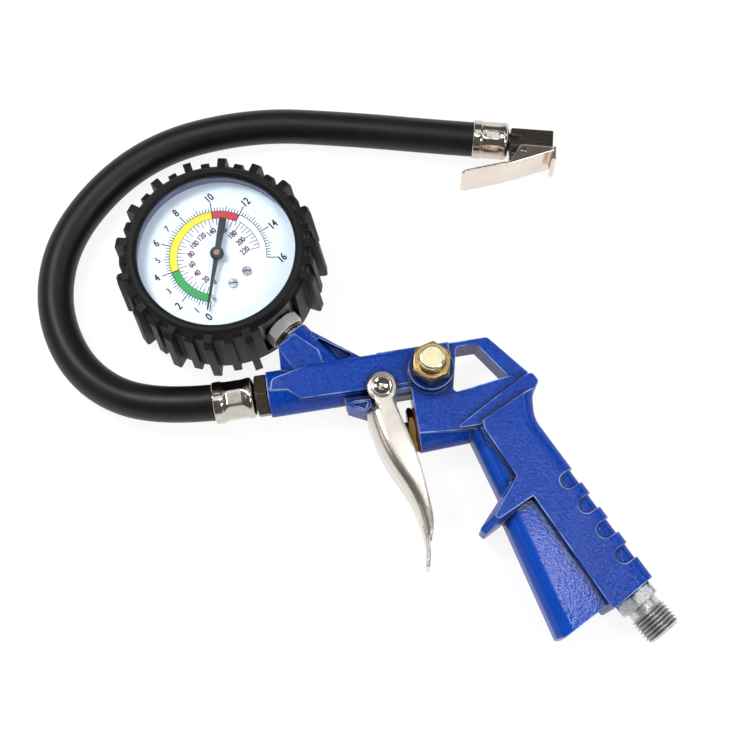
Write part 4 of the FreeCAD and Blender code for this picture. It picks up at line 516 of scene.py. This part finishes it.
# Headings in degrees: the first mark stands a little inside the scale's own zero
scale_zero, per_bar, first_mark = 259.5, -16.875, 255.0
psi_per_bar = 14.504
# Radii in mm
band_in, band_out = 14.6, 17.4
bar_long, bar_whole, bar_fifth = 21.0, 19.6, 18.9
psi_long, psi_ten, psi_five = 11.4, 12.0, 13.0
psi_out, psi_out_alone, band_end_psi = 14.5, 15.0, 177
bar_figures, small_bar_figures, psi_figures = 23.0, 21.5, 9.7
# Figures: heights in mm, condensed, and as bold as the type allows with its counters open
bar_height, small_bar_height, psi_height = 3.1, 2.5, 2.3
figure_turn = math.radians(34.5)
condensed, type_weight, strike = 0.72, 0.018, 0.07 * MM


def ink(name, code):
    """A matt printing ink, a little uneven where the screen's mesh lay."""
    pale = [min(v * 1.12 + 0.004, 1.0) for v in linear(code)[:3]] + [1.0]
    return clouded(name, linear(code), pale, 0.5, 2.0, 0.55)


inks = [ink("black_screen_ink", "0c0c0e"), ink("red_brown_screen_ink", "5c202b"),
        ink("green_screen_ink", "189340"), ink("yellow_screen_ink", "e2cc1c"),
        ink("red_screen_ink", "bb2228")]
BLACK, BROWN, GREEN, YELLOW, RED = range(5)
printed = bmesh.new()


def on_dial(radius, heading):
    """A point on the dial's face, from a radius in mm and a heading in degrees."""
    turn = math.radians(heading)
    return dial_centre + Vector((math.cos(turn), math.sin(turn), 0)) * radius * MM


def bar_heading(value):
    """Heading of a pressure in bar."""
    return scale_zero + per_bar * value


def psi_heading(value):
    """Heading of a pressure in pounds per square inch."""
    return bar_heading(value / psi_per_bar)


def stripe(low, high, start, end, colour):
    """A band of ink between two radii and two headings, in runs of about 3 degrees."""
    steps = max(int(abs(end - start) / 3), 1)
    for i in range(steps):
        a, b = (start + (end - start) * (i + k) / steps for k in (0, 1))
        corners = [on_dial(low, a), on_dial(high, a), on_dial(high, b), on_dial(low, b)]
        face = printed.faces.new([printed.verts.new(c) for c in corners])
        face.material_index = colour


def tick(low, high, heading, width, colour):
    """A straight line of ink along a radius, printed over the bands."""
    turn = math.radians(heading)
    side = Vector((-math.sin(turn), math.cos(turn), 0)) * width * MM / 2
    over = Vector((0, 0, 0.01 * MM))
    corners = [on_dial(r, heading) + side * s + over
               for r, s in ((low, -1), (high, -1), (high, 1), (low, 1))]
    face = printed.faces.new([printed.verts.new(c) for c in corners])
    face.material_index = colour


def figure(number, radius, heading, height, colour):
    """A number in condensed figures, centred on a point and struck twice to make it bolder."""
    letters = bpy.data.curves.new("figure", "FONT")
    letters.body = str(number)
    letters.offset = type_weight
    holder = bpy.data.objects.new("figure", letters)
    bpy.context.scene.collection.objects.link(holder)
    bpy.context.view_layer.update()
    mesh = bpy.data.meshes.new_from_object(holder.evaluated_get(
        bpy.context.evaluated_depsgraph_get()))
    bpy.data.objects.remove(holder)
    xs = [v.co.x for v in mesh.vertices]
    ys = [v.co.y for v in mesh.vertices]
    middle = Vector(((min(xs) + max(xs)) / 2, (min(ys) + max(ys)) / 2, 0))
    scale = height * MM / (max(ys) - min(ys))
    grow = Matrix.Diagonal((scale * condensed, scale, 1, 1))
    mesh.transform(Matrix.Rotation(figure_turn, 4, "Z") @ grow @ Matrix.Translation(-middle))
    aside = Vector((math.cos(figure_turn), math.sin(figure_turn), 0)) * strike
    seat = on_dial(radius, heading) + Vector((0, 0, 0.02 * MM))
    for place in (seat - aside, seat + aside + Vector((0, 0, 0.01 * MM))):
        mesh.transform(Matrix.Translation(place))
        before = len(printed.faces)
        printed.from_mesh(mesh)
        printed.faces.ensure_lookup_table()
        for face in printed.faces[before:]:
            face.material_index = colour
        mesh.transform(Matrix.Translation(-place))
    bpy.data.meshes.remove(mesh)


band_start = 0.3
for start, end, colour in ((band_start, 4, GREEN), (4, 10, YELLOW), (10, 12, RED)):
    stripe(band_in, band_out, bar_heading(start), bar_heading(end), colour)
stripe(17.3, 17.55, bar_heading(band_start), bar_heading(16), BLACK)
stripe(14.5, 14.7, bar_heading(band_start), bar_heading(12), BLACK)
stripe(14.9, 15.15, psi_heading(band_end_psi), psi_heading(220), BROWN)
tick(band_out, bar_long, first_mark, 0.42, BLACK)
for i in range(2, 81):
    even, whole, colour_change = i % 10 == 0, i % 5 == 0, i in (20, 50, 60)
    tick(band_in if colour_change else band_out,
         bar_long if even else bar_whole if whole else bar_fifth,
         bar_heading(i / 5), 0.42 if even else 0.32, BLACK)
for psi in range(5, 221, 5):
    tick(psi_long if psi % 20 == 0 else psi_ten if psi % 10 == 0 else psi_five,
         psi_out if psi < band_end_psi else psi_out_alone, psi_heading(psi), 0.3, BROWN)
for bar in (0, 1, 2, 3, 4, 5, 6, 7, 8, 10, 12, 14, 16):
    small = bar in (1, 3, 5, 7)
    figure(bar, small_bar_figures if small else bar_figures,
           bar_heading(bar) if bar else first_mark,
           small_bar_height if small else bar_height, BLACK)
for psi in range(0, 221, 20):
    figure(psi, psi_figures, psi_heading(psi) if psi else first_mark, psi_height, BROWN)
mesh = bpy.data.meshes.new("dial_print")
printed.to_mesh(mesh)
printed.free()
for made in inks:
    mesh.materials.append(made)
dial_print = bpy.data.objects.new("dial_print", mesh)
bpy.context.scene.collection.objects.link(dial_print)
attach(dial_print, "gun")


# Pointer: thin brass strip under matt black enamel, on a hub pressed on the movement's arbor.
# The enamel is near black, and dull enough to show no lamp.
coat(["pointer"], clouded("matt_black_enamel", linear("070707"), linear("111111"),
                          1.1, 3.0, 0.45))


# Case: a steel cup, pressed and black enamelled. Only its back and a ring behind the lens show,
# with the soft gloss of stoving.
coat(["gauge_case"], clouded("black_stoved_enamel", linear("0c0c0e"), linear("17171a"),
                             1.3, 3.0, 0.3))


# Lens: clear moulded polycarbonate with a skirt inside the boot. Its face is all but invisible,
# and its skirt is painted blue-grey and less clear: a painted shade for the ring that the skirt,
# seen through its own thickness, makes round the dial.
lens_low, lens_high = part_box("gauge_lens")
lens_centre = ((lens_low.x + lens_high.x) / 2, (lens_low.y + lens_high.y) / 2, 0)
face_radius, skirt_start = 28.3 * MM, 0.2 * MM
clear, tree, shader, place = material("clear_moulded_polycarbonate", {
    "Roughness": 0.02, "IOR": 1.49, "Transmission Weight": 1.0})
flow = add(tree, "TexNoise", {"Vector": place, "Scale": 1 / (8 * MM), "Detail": 2.0})
tint = add(tree, "Mix", {0: flow.outputs["Fac"], 6: linear("f0f3fa"), 7: linear("f8faff")},
           data_type="RGBA")
out = add(tree, "VectorMath", {0: place, 1: lens_centre}, operation="SUBTRACT")
flat = add(tree, "VectorMath", {0: out.outputs["Vector"], 1: (1, 1, 0)}, operation="MULTIPLY")
far = add(tree, "VectorMath", {0: flat.outputs["Vector"]}, operation="LENGTH")
skirt = add(tree, "MapRange", {"Value": far.outputs["Value"], "From Min": face_radius,
                               "From Max": face_radius + skirt_start, "To Max": 1.0})
# The skirt is painted blue-grey: a painted shade
skirt_shade_tint = add(tree, "Mix", {0: skirt.outputs["Result"], 6: tint.outputs[2],
                         7: linear("8489a6")}, data_type="RGBA")
see_through = add(tree, "MapRange", {"Value": skirt.outputs["Result"], "To Min": 1.0,
                                     "To Max": 0.55})
plug(tree, shader, {"Base Color": skirt_shade_tint.outputs[2],
                    "Transmission Weight": see_through.outputs["Result"]})
# Light that casts shadows passes straight through, as the real lens lets it
passing = add(tree, "BsdfTransparent", {"Color": linear("f4f6fb")})
ray = add(tree, "LightPath", {})
mix = add(tree, "MixShader", {0: ray.outputs["Is Shadow Ray"], 1: shader.outputs["BSDF"],
                              2: passing.outputs["BSDF"]})
plug(tree, tree.nodes["Material Output"], {"Surface": mix.outputs["Shader"]})
coat(["gauge_lens"], clear)


# Boot: moulded black rubber with tread-like ribs, stretched over the case. It is near black
# with a dull, slightly pebbled skin, and painted a little grey along the ribs' edges, part rubbing
# wear and part painted highlight.
rib_round, blotch, boot_grain, grain_depth = 0.6 * MM, 6 * MM, 0.5 * MM, 0.12 * MM
boot, tree, shader, place = material("moulded_rubber_boot", {"Specular IOR Level": 0.25})
cloud = add(tree, "TexNoise", {"Vector": place, "Scale": 1 / blotch, "Detail": 4.0})
skin = add(tree, "TexNoise", {"Vector": place, "Scale": 1 / boot_grain, "Detail": 3.0})
rounded, level = edge_level(tree, rib_round)
edge_wear_and_highlight = add(tree, "MapRange", {"Value": level, "From Min": 0.99, "From Max": 0.85})
tint = add(tree, "Mix", {0: cloud.outputs["Fac"], 6: linear("050505"), 7: linear("0b0b0b")},
           data_type="RGBA")
# The ribs' edges are painted grey: part rubbing wear, part painted highlight
worn_and_highlit = add(tree, "Mix", {0: edge_wear_and_highlight.outputs["Result"], 6: tint.outputs[2],
                           7: linear("262626")}, data_type="RGBA")
dull = add(tree, "MapRange", {"Value": skin.outputs["Fac"], "To Min": 0.4, "To Max": 0.62})
relief = add(tree, "Bump", {"Height": skin.outputs["Fac"], "Strength": 0.35,
                            "Distance": grain_depth, "Normal": rounded})
plug(tree, shader, {"Base Color": worn_and_highlit.outputs[2], "Roughness": dull.outputs["Result"],
                    "Normal": relief.outputs["Normal"]})
coat(["gauge_boot"], boot)


# Chuck: a milled brass block under dark worn nickel, with a sprung lever of bright nickel
# sheet that hooks behind the tyre valve's thread, all on a riveted steel pin.
coat(["chuck_body"], metal("milled_block_dark_nickel", "4b453e", "938b80", 1.3, 0.3,
                           (0.16, 0.34), 0.03, 0.35))
# Bright nickel sheet: pink-white and smooth, with long soft reflections
coat(["chuck_lever"], metal("pressed_lever_bright_nickel", "dccfc4", "f0e5da", 7.0, 0.5,
                            (0.12, 0.2), 0.006, 0.6))
coat(["chuck_pivot_pin"], metal("riveted_pin_nickel", "8c867d", "c9c3ba", 1.0, 0.3,
                                (0.15, 0.25), 0.01, 0.3))


# Bench: a white paper sweep. What the eye and the metals see of it is white, and it keeps
# a light part of the object's shadow.
def seen(tree):
    """1 for what the camera sees, itself or in metal or through glass, and 0 for light."""
    ray = add(tree, "LightPath", {})
    by_eye = add(tree, "Math", {0: ray.outputs["Is Camera Ray"],
                                1: ray.outputs["Is Glossy Ray"]}, operation="MAXIMUM")
    through = add(tree, "Math", {0: by_eye.outputs[0], 1: ray.outputs["Is Transmission Ray"]},
                  operation="MAXIMUM")
    return through.outputs[0]


floor_reach, floor_drop = 3, 0.1 * MM
paper, tree, shader, place = material("white_paper_sweep", {"Roughness": 0.9})
fibre = add(tree, "TexNoise", {"Vector": place, "Scale": 1 / (3 * MM), "Detail": 2.0})
tint = add(tree, "Mix", {0: fibre.outputs["Fac"], 6: linear("ececec"), 7: linear("efefef")},
           data_type="RGBA")
plug(tree, shader, {"Base Color": tint.outputs[2]})
glow = add(tree, "Emission", {"Color": linear("ffffff"), "Strength": 1.1})
pale = add(tree, "MixShader", {0: 0.8, 1: shader.outputs["BSDF"], 2: glow.outputs["Emission"]})
mix = add(tree, "MixShader", {0: seen(tree), 1: shader.outputs["BSDF"],
                              2: pale.outputs["Shader"]})
plug(tree, tree.nodes["Material Output"], {"Surface": mix.outputs["Shader"]})
mesh = bpy.data.meshes.new("floor")
mesh.from_pydata([(x * floor_reach, y * floor_reach, 0)
                  for x, y in ((-1, -1), (1, -1), (1, 1), (-1, 1))], [], [(0, 1, 2, 3)])
mesh.materials.append(paper)
floor = bpy.data.objects.new("floor", mesh)
floor.location.z = -floor_drop
bpy.context.scene.collection.objects.link(floor)

# Lamps: bars of soft light overhead, which the metals show as bright bands and the pebbled coat
# as sparkle, two small lamps for the coat's gloss, and a window to the left for the hose. Each
# has its place, width and depth in metres, and its watts; those in aimed point at the object.
lamps = [("near_bar", (0.0, y, 1.0), 0.44, 0.06, 0.17) for y in (0.05, 0.17, 0.29)]
lamps += [("far_bar", (x, 0.465, 1.0), 0.08, 0.45, 0.22) for x in (0.27, 0.41)]
lamps += [("strip", (0.05, 0.74, 1.0), 0.3, 0.12, 0.15),
          ("key", (-0.35, 0.30, 0.85), 0.22, 0.22, 3.6),
          ("fill", (0.5, -0.42, 0.8), 0.22, 0.22, 2.8),
          ("right_box", (0.72, 0.18, 0.8), 0.3, 0.3, 0.8),
          ("handle_lamp", (0.16, 0.01, 0.9), 0.06, 0.14, 0.5),
          ("window", (-0.85, 0.0, 0.66), 0.3, 0.3, 0.35)]
aimed = ("key", "fill", "right_box", "window")
for name, spot, wide, navy_corner_shade, watts in lamps:
    lamp = bpy.data.lights.new(name, "AREA")
    lamp.shape = "RECTANGLE"
    lamp.size = wide
    lamp.size_y = navy_corner_shade
    lamp.energy = watts
    light = bpy.data.objects.new(name, lamp)
    light.location = spot
    if name in aimed:
        light.rotation_euler = (Vector(spot) * -1).to_track_quat("-Z", "Y").to_euler()
    bpy.context.scene.collection.objects.link(light)

# Room: white behind the bench, dim above it in the metals' reflections, and an even light from
# all sides
bench_glow, ceiling_glow, room_light = 1.0, 0.11, 0.4
world = bpy.data.worlds.new("room")
bpy.context.scene.world = world
world.use_nodes = True
tree = world.node_tree
heading = add(tree, "TexCoord", {})
height = add(tree, "SeparateXYZ", {"Vector": heading.outputs["Generated"]})
walls = add(tree, "MapRange", {"Value": height.outputs["Z"], "From Min": 0.12, "From Max": 0.3,
                               "To Min": bench_glow, "To Max": ceiling_glow})
ray = add(tree, "LightPath", {})
backdrop = add(tree, "Math", {0: ray.outputs["Is Camera Ray"], 1: walls.outputs["Result"]},
               operation="MAXIMUM")
strength = add(tree, "Mix", {0: seen(tree), 2: room_light, 3: backdrop.outputs[0]})
plug(tree, tree.nodes["Background"], {"Color": linear("ffffff"),
                                      "Strength": strength.outputs[0]})
bpy.context.scene.view_settings.view_transform = "Standard"
